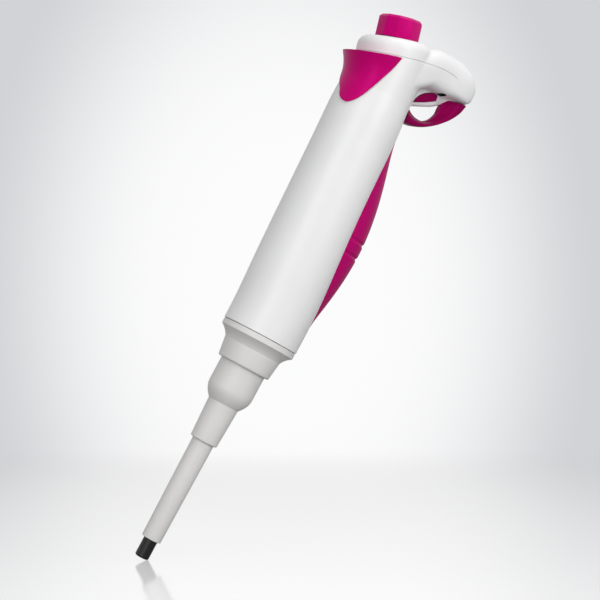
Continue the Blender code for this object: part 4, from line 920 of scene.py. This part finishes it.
@dataclass
class PalmGrip:
    """Magenta palm grip on the back of the handle; its crest follows half a sine wave."""

    form: BodyForm
    start: float = 10.6 * MM
    length: float = 82.0 * MM
    crest: float = 6.6 * MM
    edge: float = 0.2 * MM
    inset: float = 0.8 * MM
    wrap: float = math.radians(46.0)
    grooves: tuple[float, float] = (43.6 * MM, 49.6 * MM)
    groove_depth: float = 0.5 * MM
    groove_half: float = 0.9 * MM
    end_taper: float = 0.35
    columns: int = 48
    rows: int = 328

    def solid(self, name: str, grow: float, columns: int, rows: int = 40) -> Piece:
        """The grip's low slab, or with some growth its seat in the handle.

        Args:
            name: Name of the mesh.
            grow: How far it grows on each side.
            columns: Spans across.
            rows: Spans along.

        Returns:
            A closed mesh that carries, for its outer skin, the place along and across
            and the way outwards.
        """
        low = HANDLE_FOOT + self.start - grow
        high = HANDLE_FOOT + self.start + self.length + grow
        wrap = self.wrap + grow / self.form.foot_radius
        rings = []
        marks = []
        for share in shares(rows):
            height = mix(low, high, share)
            taper = mix(self.end_taper, 1.0, max(math.sin(math.pi * share), 0.0) ** 0.5)
            base = self.form.radius(height)
            centre = self.form.centre(height)
            outer_radius = base + (OVERRUN if grow > 0 else self.edge)
            outer, inner = [], []
            for across in [2 * column - 1 for column in shares(columns)]:
                turn = wrap * taper * across
                way = Vector((math.cos(turn), math.sin(turn), 0))
                outer.append(way * outer_radius + Vector((centre, 0, height)))
                inner.append(way * (base - self.inset - grow) + Vector((centre, 0, height)))
                marks.append((outer[-1], share, across, way))
            rings.append(outer + inner[::-1])
        made = loft(name, rings)
        if grow == 0:
            self.mark(made, marks)
        return made

    @staticmethod
    def mark(piece: Piece, marks: list[tuple[Vector, float, float, Vector]]) -> None:
        """Store on the outer skin the values that the swelling reads."""
        known = {tuple(round(value, 7) for value in place): (share, across, way)
                 for place, share, across, way in marks}
        along = piece.data.attributes.new("along", "FLOAT", "POINT")
        across_mark = piece.data.attributes.new("across", "FLOAT", "POINT")
        outwards = piece.data.attributes.new("outwards", "FLOAT_VECTOR", "POINT")
        for index, vertex in enumerate(piece.data.vertices):
            found = known.get(tuple(round(value, 7) for value in vertex.co))
            if found is not None:
                along.data[index].value = found[0]
                across_mark.data[index].value = found[1]
                outwards.data[index].vector = found[2]

    def swelling(self) -> TreeMaker:
        """Tree that raises the outer skin along half a sine wave and sinks its grooves."""
        maker = TreeMaker("palm_swell", {"Crest": 0.0, "Groove Depth": 0.0, "Groove 1": 0.5, "Groove 2": 0.6,
                                         "Groove Width": 0.01})
        along, across, way = [
            maker.node("GeometryNodeInputNamedAttribute", {"Name": name}, data_type=kind).outputs[0]
            for name, kind in (("along", "FLOAT"), ("across", "FLOAT"), ("outwards", "FLOAT_VECTOR"))]
        wave = maker.maths("SINE", maker.maths("MULTIPLY", along, math.pi))
        dome = maker.maths("SUBTRACT", 1.0, maker.maths("MULTIPLY", across, across))
        rise = maker.maths("MULTIPLY", maker.maths("MULTIPLY", wave, dome), maker.inlet["Crest"])
        for number in (1, 2):
            away = maker.maths("ABSOLUTE", maker.maths("SUBTRACT", along, maker.inlet[f"Groove {number}"]))
            near = maker.maths("DIVIDE", away, maker.inlet["Groove Width"])
            notch = maker.maths("MAXIMUM", maker.maths("SUBTRACT", 1.0, maker.maths("MULTIPLY", near, near)), 0.0)
            rise = maker.maths("SUBTRACT", rise, maker.maths("MULTIPLY", notch, maker.inlet["Groove Depth"]))
        shift = maker.node("ShaderNodeVectorMath", {0: way, "Scale": rise}, operation="SCALE")
        moved = maker.node("GeometryNodeSetPosition", {"Geometry": maker.inlet["Geometry"],
                                                       "Offset": shift.outputs[0]})
        maker.close(moved.outputs[0], GRIP)
        return maker

    def build(self) -> None:
        """Raise the grip and soften its rim."""
        slab = self.solid("palm_grip_pad", 0.0, self.columns, self.rows)
        grooves = {f"Groove {number}": (groove - self.start) / self.length
                   for number, groove in enumerate(self.grooves, 1)}
        grip = self.swelling().apply(slab, {"Crest": self.crest, "Groove Depth": self.groove_depth,
                                            "Groove Width": self.groove_half / self.length, **grooves})
        for name in ("along", "across", "outwards"):
            grip.data.attributes.remove(grip.data.attributes[name])
        hand_over(shade(grip, 40), Body.HANDLE, GRIP, "palm_grip")


def resampled(points: Stations, count: int) -> list[Point]:
    """Space points evenly along a polyline.

    Args:
        points: The polyline.
        count: Number of spans wanted.

    Returns:
        Evenly spaced points, both ends included.
    """
    walked = [0.0]
    for first, second in zip(points, points[1:]):
        walked.append(walked[-1] + math.dist(first, second))
    across, upward = [list(zip(walked, values)) for values in zip(*points)]
    places = [walked[-1] * share for share in shares(count)]
    return [(straight(across, place), straight(upward, place)) for place in places]


@dataclass
class FingerRing:
    """Magenta ring that curls from the hook's end down and back to the handle."""

    form: BodyForm
    hook: HookForm
    housing: Housing
    half_width: float = 3.9 * MM
    lip_half_width: float = 1.0 * MM
    shoulder: float = 0.62
    rounding: float = 0.75
    rounding_start: float = 0.8
    outer: tuple[Point, ...] = ((32.8, 21.6), (31.8, 18.0), (29.4, 13.9), (26.8, 10.8), (24.0, 8.0), (20.0, 4.9),
                                (15.6, 2.7), (11.2, 1.8))
    inner: tuple[Point, ...] = ((10.2, 8.2), (12.7, 6.9), (15.6, 6.4), (18.7, 6.9), (21.4, 9.0), (22.9, 12.3),
                                (22.8, 15.0))
    inner_overlap: float = 3.2 * MM
    outer_overlap: float = 0.5 * MM
    columns: int = 20
    rows: int = 72

    def half_width_at(self, share: float) -> float:
        """Half width of the band, from its thin inner lip to its rounded outer edge."""
        width = mix(self.lip_half_width, self.half_width, smooth(share / self.shoulder))
        return width * math.sqrt(1 - self.rounding * past(share, self.rounding_start) ** 3)

    def build(self) -> None:
        """Loft sections from the handle up into the hook and trim them to its underside."""
        wall = self.form.centre(PIVOT) + self.form.radius(PIVOT) + GAP
        paths = []
        for table in (self.inner, self.outer[::-1]):
            points = [(x * MM, PIVOT + rise * MM) for x, rise in curved(table, 6)]
            points[0] = (wall, points[0][1])
            points[-1] = (points[-1][0], PIVOT + self.hook.keel(points[-1][0]) - GAP)
            paths.append(resampled(points, self.rows))
        for way, overlap in zip(paths, (self.inner_overlap, self.outer_overlap)):
            way.append((way[-1][0], way[-1][1] + overlap))
        sections = []
        for near, far in zip(*paths):
            right = [(mix(near[0], far[0], share), self.half_width_at(share), mix(near[1], far[1], share))
                     for share in shares(self.columns)]
            sections.append(right + [(x, -half, z) for x, half, z in reversed(right)])
        band = loft("finger_ring_band", sections)
        combine(band, [self.housing.spare], "DIFFERENCE")
        # the ring takes the darker magenta copy: painted shade under the hook
        hand_over(shade(band, 50), Body.HANDLE, SHADED_MAGENTA, "finger_ring")


@dataclass
class EjectorButton:
    """Magenta shield-shaped thumb button with a flared lip."""

    form: BodyForm
    height: float = 20.6 * MM
    edge: float = 0.4 * MM
    edge_thinning: float = 0.6
    edge_limit: float = 0.3
    softening: float = 0.2 * MM
    clearance: float = 0.15 * MM
    flare: float = 3.9 * MM
    flare_start: float = 0.5
    lip_reach: float = 6.5 * MM
    lip_rise: float = 0.5 * MM
    lip_rounding: float = 0.5 * MM
    lip_share: float = 0.97
    edges: tuple[tuple[float, float, float], ...] = (
        (0.0, -25.0, 27.0), (0.018, -18.0, 31.5), (0.056, -12.9, 36.2), (0.12, -8.0, 41.5), (0.21, -3.9, 46.8),
        (0.288, 2.6, 50.5), (0.39, 12.0, 54.7), (0.49, 21.0, 59.0), (0.6, 35.0, 63.2), (0.8, 55.0, 71.3),
        (1.0, 62.0, 77.2))
    toe_drop: float = 0.4 * MM
    toe_crowding: float = 1.6
    neck_rise: float = 14.0 * MM
    neck_height: float = 4.0 * MM
    neck_half: float = 2.2 * MM
    neck_roof: float = 1.0 * MM
    rod_x: float = -11.2 * MM
    rod_radius: float = 1.3 * MM
    rod_wall: float = 0.6 * MM
    columns: int = 56
    rows: int = 72

    def lip(self, x: float) -> float:
        """Height of the plane just below the head cover."""
        level = PART_LINE - GAP - RUN + self.lip_rise
        return PIVOT + (level + x * math.sin(HEAD_TILT)) / math.cos(HEAD_TILT)

    def toe(self) -> float:
        """Lowest point of the button."""
        return self.lip(self.form.centre(PIVOT) - self.form.neck_radius) - self.height - self.lip_rise

    def neck(self) -> float:
        """Underside of the neck that joins the button to its rod."""
        return self.toe() + self.neck_rise

    def edge_rows(self) -> list[tuple[float, float, float]]:
        """Rows of share, far edge and near edge, closer together at the toe."""
        fine = curved(self.edges, 8)
        far = [(point[0], point[1]) for point in fine]
        near = [(point[0], point[2]) for point in fine]
        return [(share, straight(far, share), straight(near, share))
                for share in (even ** self.toe_crowding for even in shares(self.rows))]

    def build(self) -> None:
        """Loft the shield, join its neck and bore the rod's hole."""
        toe = self.toe() - self.toe_drop
        sections = []
        for share, far_degrees, near_degrees in self.edge_rows():
            far, near = math.radians(far_degrees), math.radians(near_degrees)
            flare = self.flare * past(share, self.flare_start) ** 2
            turned_in = self.lip_rounding * (1 - math.sqrt(1 - past(share, self.lip_share) ** 2))
            outer, inner = [], []
            for part in shares(self.columns):
                side = 2 * part - 1
                turn = math.pi - far + (near + far) * part
                reach = self.form.neck_radius + self.lip_reach * (1 - side ** 4)
                height = mix(toe, self.lip(self.form.centre(PIVOT) + reach * math.cos(turn)), share)
                lowest = height - EJECT_TRAVEL
                centre = min(self.form.centre(height), self.form.centre(lowest))
                floor = max(self.form.radius(height), self.form.radius(lowest)) + self.clearance
                skin = floor + self.edge * (1 - self.edge_thinning * side ** 8) + flare * (1 - side ** 4)
                skin -= min(turned_in, self.edge_limit * self.edge)
                outer.append((centre + skin * math.cos(turn), skin * math.sin(turn), height))
                inner.append((centre + floor * math.cos(turn), floor * math.sin(turn), height))
            sections.append(outer + inner[::-1])
        button = loft("ejector_button_shield", sections)
        soften(button, self.softening, 3, 50)
        foot = self.neck()
        front = self.form.centre(foot) - self.form.radius(foot) - self.edge
        back = self.rod_x + self.rod_radius + self.rod_wall
        neck = block("neck", (front, -self.neck_half, foot), (back, self.neck_half, foot + self.neck_height))
        combine(button, [neck], "UNION")
        roof = foot + self.neck_height - self.neck_roof
        bore = tube("bore", (0, self.rod_radius + GAP), (foot - OVERRUN, roof), 32,
                    Matrix.Translation((self.rod_x, 0, 0)))
        combine(button, [bore], "DIFFERENCE")
        hand_over(shade(button, 40), Body.EJECTOR, MAGENTA, "ejector_button")


@dataclass
class ThumbKnob:
    """Ten-sided thumb button with softened edges, on the head axis."""

    form: BodyForm
    sides: int = 10
    radius: float = 9.1 * MM
    height: float = 9.3 * MM
    bevel: float = 1.1 * MM
    softening: float = 0.25 * MM
    wall: float = 2.0 * MM
    roof: float = 3.4 * MM
    socket: float = 3.6 * MM
    socket_depth: float = 1.0 * MM
    stem_radius: float = 2.4 * MM
    stem_height: float = 1.2 * MM
    start_turn: float = math.radians(22.0)
    lift: float = 0.5 * MM
    crown_radius: float = 7.9 * MM
    crown_drop: float = 2.2 * MM

    def build(self) -> None:
        """Revolve in ten flats, then round the edges between them."""
        low = self.form.boss_top + GAP + self.lift
        high = self.form.boss_top + GAP + self.height
        roof = high - self.roof
        stem_top = roof + self.stem_height + GAP
        step = low + self.socket_depth
        inner = self.radius - self.wall
        profile = [(0, stem_top), (self.stem_radius, stem_top), (self.stem_radius, step), (self.socket, step),
                   (self.socket, roof), (inner, roof), (inner, low), (self.radius, low),
                   (self.radius, high - self.bevel), (self.radius - self.bevel, high), (0, high)]
        turned = HEAD @ Matrix.Rotation(self.start_turn, 4, "Z")
        knob = revolve("push_button_knob", profile, self.sides, turned)
        soften(knob, self.softening, 3, 25)
        crown = [(0, low - OVERRUN), (self.radius + RUN, low - OVERRUN)]
        for angle in (math.radians(90 * share) for share in shares(12)):
            crown.append((mix(self.crown_radius, self.radius + RUN, math.cos(angle)),
                          high - self.crown_drop * (1 - math.sin(angle))))
        combine(knob, [revolve("crown", crown + [(0, high)], 96, HEAD)], "INTERSECT")
        hand_over(shade(knob, 25), Body.BUTTON, MAGENTA, "push_button")


@dataclass
class LowerBody:
    """The turned-looking mouldings below the handle, and the nozzle."""

    sleeve_z: float = 51.0 * MM
    bulb_z: float = 67.6 * MM
    collar_z: float = 84.0 * MM
    cone_z: float = 91.7 * MM
    ring_z: float = 95.8 * MM
    top_z: float = 98.15 * MM
    cone_radius: float = 12.1 * MM
    ring_radius: float = 15.75 * MM
    neck_radius: float = 6.45 * MM
    bulb_radius: float = 9.5 * MM
    bulb_top: float = 104.2 * MM
    collar_radius: float = 11.2 * MM
    collar_rounding: float = 0.9 * MM
    cone_rounding: float = 0.2 * MM
    ring_rounding: float = 0.4 * MM
    spigot: Point = (12.9 * MM, 14.1 * MM)
    spigot_height: float = 8.8 * MM
    cone_seat: float = 11.4 * MM
    sleeve_bore: float = 4.85 * MM
    sleeve_rounding: float = 0.7 * MM
    sleeve_edge: float = 5.75 * MM
    sleeve_seat: float = 2.8 * MM
    tube_seat: float = 5.05 * MM
    bulb_rise: float = 6.5 * MM
    bulb_bore: float = 8.2 * MM
    bulb_floor: float = 7.8 * MM
    flange_radius: float = 10.6 * MM
    flange_height: float = 2.0 * MM
    ear: tuple[float, float, float] = (-12.6 * MM, -10.05 * MM, 2.2 * MM)
    tube_foot: float = 8.0 * MM
    tube_bore: float = 3.18 * MM
    tube_radius: Point = (4.05 * MM, 4.55 * MM)
    tube_rounding: float = 0.3 * MM
    tube_overlap: float = 2.5 * MM
    tip_radius: float = 2.88 * MM
    tip_rounding: float = 0.7 * MM
    tip_seat: float = 10.0 * MM
    tip_spigot: float = 1.7 * MM
    tip_spigot_height: float = 6.0 * MM
    channel: float = 0.5 * MM

    @staticmethod
    def rounded(corner: Point, radius: float, start: float, end: float, spans: int) -> list[Point]:
        """Round a corner of a profile.

        Args:
            corner: Where the two edges would meet, at the profile's outer side.
            radius: Radius of the rounding.
            start: First angle in degrees; below 0 the corner is a lower one.
            end: Last angle in degrees.
            spans: Spans of the rounding.

        Returns:
            Points of the arc, upwards.
        """
        inwards = radius if start < 0 else -radius
        return arc((corner[0] - radius, corner[1] + inwards), radius, start, end, spans)

    def build_coupling(self) -> None:
        """Collar, hollow cone, ring and spigot."""
        bore = self.bulb_radius + RUN
        profile = [(bore, self.collar_z)]
        profile += self.rounded((self.collar_radius, self.collar_z), self.collar_rounding, -90, 0, 8)
        profile += self.rounded((self.cone_radius, self.cone_z), self.cone_rounding, 0, 40, 3)
        for share in shares(16)[1:]:
            profile.append((mix(self.cone_radius, self.ring_radius, 0.35 * share + 0.65 * share ** 2),
                            mix(self.cone_z, self.ring_z, share)))
        profile += self.rounded((self.ring_radius, self.top_z), self.ring_rounding, 0, 90, 5)
        inner, outer = self.spigot
        spigot_top = self.top_z + self.spigot_height
        seat = self.collar_z + self.cone_seat
        profile += [(outer, self.top_z), (outer, spigot_top), (inner, spigot_top), (inner, seat), (bore, seat)]
        hand_over(shade(revolve("shaft_coupling_moulding", profile, 160)), Body.HANDLE, PALE, "shaft_coupling")

    def build_sleeve(self) -> None:
        """Bulb and sleeve in one moulding, with the flange and the rod's ear."""
        seat = self.sleeve_z + self.sleeve_seat
        profile = [(self.sleeve_bore, self.sleeve_z)]
        profile += self.rounded((self.sleeve_edge, self.sleeve_z), self.sleeve_rounding, -75, 0, 6)
        profile.append((self.neck_radius, self.bulb_z))
        for angle in (math.radians(90 * share) for share in shares(24)[1:]):
            profile.append((mix(self.neck_radius, self.bulb_radius, math.sin(angle) ** 2),
                            self.bulb_z + self.bulb_rise * (1 - math.cos(angle))))
        foot = self.bulb_top - self.flange_height
        profile += [(self.bulb_radius, foot), (self.flange_radius, foot), (self.flange_radius, self.bulb_top),
                    (self.bulb_bore, self.bulb_top), (self.bulb_bore, self.bulb_z + self.bulb_floor),
                    (self.tube_seat, self.bulb_z), (self.tube_seat, seat), (self.sleeve_bore, seat)]
        sleeve = revolve("ejector_sleeve_moulding", profile)
        far, near, half = self.ear
        combine(sleeve, [block("ear", (far, -half, foot), (near, half, self.bulb_top))], "UNION")
        hand_over(shade(sleeve), Body.EJECTOR, PALE, "ejector_sleeve")

    def build_tube(self) -> None:
        """Thin ejector tube with a square lower end."""
        (low_radius, top_radius), top = self.tube_radius, self.sleeve_z + self.tube_overlap
        profile = [(self.tube_bore, self.tube_foot)]
        profile += self.rounded((low_radius, self.tube_foot), self.tube_rounding, -90, 0, 5)
        profile += [(top_radius, self.sleeve_z), (top_radius, top), (self.tube_bore, top)]
        hand_over(shade(revolve("ejector_tube_moulding", profile)), Body.EJECTOR, PALE, "ejector_tube")

    def build_nozzle(self) -> None:
        """Black nozzle with a rounded end and its spigot."""
        top = self.tip_seat + self.tip_spigot_height
        profile = [(self.channel, 0.0)] + self.rounded((self.tip_radius, 0.0), self.tip_rounding, -90, 0, 12)
        profile += [(self.tip_radius, self.tip_seat), (self.tip_spigot, self.tip_seat), (self.tip_spigot, top),
                    (self.channel, top)]
        hand_over(shade(revolve("tip_cone_moulding", profile, 96)), Body.HANDLE, BLACK, "tip_cone")

    def build(self) -> None:
        """Build every moulding below the handle."""
        self.build_coupling()
        self.build_sleeve()
        self.build_tube()
        self.build_nozzle()


@dataclass
class VolumeDisplay:
    """Numerals round the three digit drums."""

    centres: float = 8.0 * MM
    radius: float = 3.6 * MM
    foot: float = 7.8 * MM
    pitch: float = 3.1 * MM
    drum_height: float = 2.8 * MM
    numeral_height: float = 2.0 * MM
    cap_share: float = 0.7
    digits: int = 10
    relief: float = 0.05 * MM
    shown: tuple[int, int, int] = (0, 5, 0)
    bodies: tuple[Body, Body, Body] = (Body.UNITS, Body.TENS, Body.HUNDREDS)

    def numerals(self) -> bpy.types.Collection:
        """Ten thin numerals, each flat in its XZ plane and facing +Y."""
        group = bpy.data.collections.new("numerals")
        for digit in range(self.digits):
            text = bpy.data.curves.new(f"numeral_{digit}", "FONT")
            text.body = str(digit)
            text.size = self.numeral_height / self.cap_share
            text.align_x = "CENTER"
            text.align_y = "CENTER"
            text.extrude = self.relief
            carrier = linked(f"numeral_{digit}", text)
            bpy.context.view_layer.update()
            mesh = bpy.data.meshes.new_from_object(carrier.evaluated_get(bpy.context.evaluated_depsgraph_get()))
            bpy.data.objects.remove(carrier, do_unlink=True)
            mesh.transform(Matrix.Rotation(math.pi, 4, "Z") @ Matrix.Rotation(math.pi / 2, 4, "X"))
            group.objects.link(bpy.data.objects.new(f"numeral_{digit}", mesh))
        return group

    def ring_tree(self, group: bpy.types.Collection) -> TreeMaker:
        """Tree that sets ten numerals round a drum, each facing outwards."""
        maker = TreeMaker("numeral_ring", {"Radius": 0.0036, "Middle": 0.0, "Turn": 0.0})
        circle = maker.node("GeometryNodeMeshCircle", {"Vertices": self.digits, "Radius": 1.0})
        index = maker.node("GeometryNodeInputIndex").outputs[0]
        step = maker.maths("MULTIPLY", index, -2 * math.pi / self.digits)
        angle = maker.maths("ADD", step, maker.inlet["Turn"])
        x = maker.maths("MULTIPLY", maker.maths("SINE", angle), maker.maths("MULTIPLY", maker.inlet["Radius"], -1.0))
        y = maker.maths("MULTIPLY", maker.maths("COSINE", angle), maker.inlet["Radius"])
        place = maker.node("ShaderNodeCombineXYZ", {0: x, 1: y, 2: maker.inlet["Middle"]})
        points = maker.node("GeometryNodeSetPosition", {"Geometry": circle.outputs[0], "Position": place.outputs[0]})
        source = maker.node("GeometryNodeCollectionInfo", {"Collection": group, "Separate Children": True,
                                                           "Reset Children": True})
        turn = maker.node("ShaderNodeCombineXYZ", {2: angle})
        copies = maker.node("GeometryNodeInstanceOnPoints",
                            {"Points": points.outputs[0], "Instance": source.outputs[0], "Pick Instance": True,
                             "Instance Index": index, "Rotation": turn.outputs[0]})
        maker.close(copies.outputs[0], INK)
        return maker

    def build(self) -> None:
        """Set the numerals on the drums so that the shown ones face the window."""
        tree = self.ring_tree(self.numerals())
        for number, (digit, body) in enumerate(zip(self.shown, self.bodies)):
            middle = self.foot + (2 - number) * self.pitch + self.drum_height / 2
            carrier = linked(f"drum_numerals_{number + 1}", bpy.data.meshes.new("numerals"))
            tree.apply(carrier, {"Radius": self.radius, "Middle": middle, "Turn": digit * 2 * math.pi / self.digits})
            carrier.data.transform(HEAD @ Matrix.Translation((0, self.centres, 0)))
            hand_over(carrier, body, INK)


class Works:
    """The CAD nodes that stay as they are and get their finishes."""

    finishes: dict[Finish, tuple[str, ...]] = {
        PALE: ("barrel", "bearing_plate"),
        BLACK: ("inner_frame",),
        SEAL: ("piston_seal",),
        RUBBER: ("o_ring",),
        BRASS: ("seal_retainer", "spring_collar", "volume_nut", "volume_screw", "drive_gear"),
        DRUM: ("digit_drum_1", "digit_drum_2", "digit_drum_3"),
        STEEL: ("hook_screw_1", "hook_screw_2", "return_spring", "blowout_spring", "ejector_spring", "thrust_cap",
                "plunger_rod", "piston", "button_stem", "drum_axle", "ejector_rod", "ejector_clip"),
    }

    def build(self) -> None:
        """Dress each node."""
        for finish, names in self.finishes.items():
            for name in names:
                finish.dress(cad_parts[name])


@dataclass
class Studio:
    """Camera at the photograph's angle, pale glossy floor, white surround and soft lamps."""

    azimuth: float = math.radians(-27.47)
    elevation: float = math.radians(-4.0)
    roll: float = math.radians(28.17)
    distance: float = 0.560
    focal: float = 1411.08
    centre: Point = (285.88, 287.08)
    aim: float = 0.120
    photo_size: float = 600.0
    floor_pitch: float = math.radians(5.0)
    sky_low: float = 0.05
    sky_high: float = 0.54
    floor_white: float = 0.86
    floor_radius: float = 1.7
    rim: float = 2.18 * MM
    lamps: tuple[tuple[str, tuple[float, float, float], Point, float], ...] = (
        ("key_softbox", (-0.16, 0.28, 0.72), (0.35, 0.5), 1.65),
        ("right_softbox", (0.52, 0.20, 0.54), (0.3, 0.5), 1.9),
        ("top_softbox", (0.38, 0.80, 0.14), (0.5, 0.5), 2.2),
        ("low_softbox", (-0.10, 0.02, 0.33), (0.2, 0.06), 0.10))

    def __post_init__(self) -> None:
        """Work out the photograph's own directions."""
        a, e, r = self.azimuth, self.elevation, self.roll
        self.back = Vector((math.sin(a) * math.cos(e), -math.cos(a) * math.cos(e), math.sin(e)))
        side = Vector((math.cos(a), math.sin(a), 0))
        over = self.back.cross(side)
        self.right = math.cos(r) * side + math.sin(r) * over
        self.up = -math.sin(r) * side + math.cos(r) * over
        self.eye = Vector((0, 0, self.aim)) + self.distance * self.back
        self.floor_up = (math.cos(self.floor_pitch) * self.up - math.sin(self.floor_pitch) * self.back).normalized()

    def frame_at(self, place: Vector, back: Vector, up: Vector) -> Matrix:
        """Matrix of a lamp or camera that looks against a direction."""
        across = up.cross(back).normalized()
        return Matrix.Translation(place) @ Matrix((across, back.cross(across).normalized(), back.normalized())
                                                  ).transposed().to_4x4()

    def build_camera(self) -> None:
        """Camera with the photograph's angle and framing."""
        data = bpy.data.cameras.new("photo_camera")
        data.sensor_width = 36.0
        data.lens = self.focal / self.photo_size * data.sensor_width
        data.shift_x = (self.photo_size / 2 - self.centre[0]) / self.photo_size
        data.shift_y = (self.centre[1] - self.photo_size / 2) / self.photo_size
        data.clip_start = 0.01
        camera = linked("photo_camera", data)
        camera.matrix_world = self.frame_at(self.eye, self.back, self.up)
        bpy.context.scene.camera = camera

    def lamp(self, name: str, offset: Sequence[float], size: Point, power: float) -> None:
        """Add a soft rectangular lamp aimed at the pipette's middle.

        Args:
            name: Name of the lamp.
            offset: Metres to the photograph's right, up and towards the camera.
            size: Width and height.
            power: Watts.
        """
        data = bpy.data.lights.new(name, "AREA")
        data.shape = "RECTANGLE"
        data.size, data.size_y = size
        data.energy = power
        way = self.right * offset[0] + self.up * offset[1] + self.back * offset[2]
        made = linked(name, data)
        made.matrix_world = self.frame_at(Vector((0, 0, self.aim)) + way, way.normalized(), self.up)

    def build_world(self) -> None:
        """Even white surround, greyer away from the photograph's middle for what sees it."""
        world = bpy.data.worlds.new("surround")
        bpy.context.scene.world = world
        world.use_nodes = True
        maker = TreeBuilder(world.node_tree)
        facing = maker.node("ShaderNodeTexCoord").outputs["Generated"]

        def along(way: Vector) -> Socket:
            """How far the ray's direction goes along a way."""
            return maker.node("ShaderNodeVectorMath", {0: facing, 1: way}, operation="DOT_PRODUCT").outputs["Value"]

        sky = maker.node("ShaderNodeMapRange", {
            "Value": along((0.9 * self.up + 0.45 * self.right).normalized()), "From Min": -0.9, "From Max": 0.9,
            "To Min": self.sky_low, "To Max": self.sky_high})
        ambient = maker.feed(maker.tree.nodes["Background"], {"Color": sky.outputs[0]})
        squares = [maker.maths("MULTIPLY", off, off) for off in (along(self.right * 1.25), along(self.up * 0.85))]
        middle = maker.node("ShaderNodeMapRange", {"Value": maker.maths("ADD", *squares), "From Min": 0.075,
                                                   "From Max": 0.004}, interpolation_type="SMOOTHSTEP")
        tone = maker.mixed(middle.outputs[0], (0.64, 0.65, 0.67, 1.0), (0.97, 0.97, 0.975, 1.0))
        seen = maker.node("ShaderNodeBackground", {"Color": tone})
        rays = maker.node("ShaderNodeLightPath").outputs
        sees = maker.maths("MAXIMUM", rays["Is Camera Ray"], rays["Is Transmission Ray"])
        maker.finish("World Output", maker.blended(maker.maths("MAXIMUM", sees, rays["Is Glossy Ray"]), ambient, seen))

    def floor_material(self) -> bpy.types.Material:
        """Pale glossy floor that fades into the surround and is clear from below."""
        made = bpy.data.materials.new("pale_floor")
        made.use_nodes = True
        maker = TreeBuilder(made.node_tree)
        maker.tree.nodes.remove(maker.tree.nodes["Principled BSDF"])
        seen = maker.node("ShaderNodeLightPath").outputs["Is Camera Ray"]
        matt = maker.node("ShaderNodeBsdfDiffuse", {
            "Color": maker.mixed(seen, (0.35, 0.35, 0.35, 1.0), (0.9, 0.9, 0.905, 1.0))})
        white = maker.node("ShaderNodeEmission", {"Color": (1.0, 1.0, 1.0, 1.0), "Strength": 1.16})
        ground = maker.blended(maker.maths("MULTIPLY", seen, self.floor_white), matt, white)
        gloss = maker.node("ShaderNodeBsdfGlossy", {"Roughness": 0.09})
        shine = maker.node("ShaderNodeFresnel", {"IOR": 1.33}).outputs[0]
        place = maker.node("ShaderNodeTexCoord").outputs["Object"]
        reach = maker.node("ShaderNodeVectorMath", {0: place}, operation="LENGTH").outputs["Value"]
        fade = maker.node("ShaderNodeMapRange", {"Value": reach, "From Min": 0.3, "From Max": 1.6},
                          interpolation_type="SMOOTHSTEP")
        below = maker.node("ShaderNodeNewGeometry").outputs["Backfacing"]
        clear = maker.node("ShaderNodeBsdfTransparent")
        maker.finish("Material Output", maker.blended(maker.maths("MAXIMUM", fade.outputs[0], below),
                                                      maker.blended(shine, ground, gloss), clear))
        return made

    def build_floor(self) -> None:
        """Round floor that the nozzle's rim touches."""
        turns = [math.radians(turn) for turn in range(360)]
        lowest = min(self.floor_up.dot(Vector((math.cos(turn), math.sin(turn), 0)) * self.rim) for turn in turns)
        level = self.floor_up * (lowest - 0.1 * MM)
        data = bmesh.new()
        bmesh.ops.create_circle(data, cap_ends=True, segments=96, radius=self.floor_radius)
        floor = to_object("studio_floor", data, turn_faces=False)
        floor.matrix_world = self.frame_at(level, self.floor_up, self.back)
        floor.data.materials.append(self.floor_material())

    def build(self) -> None:
        """Build camera, floor, surround and lamps."""
        self.build_camera()
        self.build_world()
        self.build_floor()
        for lamp in self.lamps:
            self.lamp(*lamp)
        bpy.context.scene.view_settings.view_transform = "Standard"


def main() -> None:
    """Build the pipette and its studio."""
    logging.basicConfig(level=logging.INFO, format="%(name)s %(message)s")
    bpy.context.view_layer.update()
    form = BodyForm()
    hook = HookForm()
    grip = PalmGrip(form)
    ejector = EjectorButton(form)
    housing = Housing(form, hook, grip)
    steps: list[tuple[str, Callable[[], None]]] = [
        ("studio", Studio().build),
        ("works", Works().build),
        ("lower body", LowerBody().build),
        ("palm grip", grip.build),
        ("housing", lambda: housing.build(ejector.neck())),
        ("finger ring", FingerRing(form, hook, housing).build),
        ("ejector button", ejector.build),
        ("thumb knob", ThumbKnob(form).build),
        ("volume display", VolumeDisplay().build),
    ]
    for label, build in steps:
        build()
        LOG.info("built the %s", label)


if __name__ == "__main__":
    main()
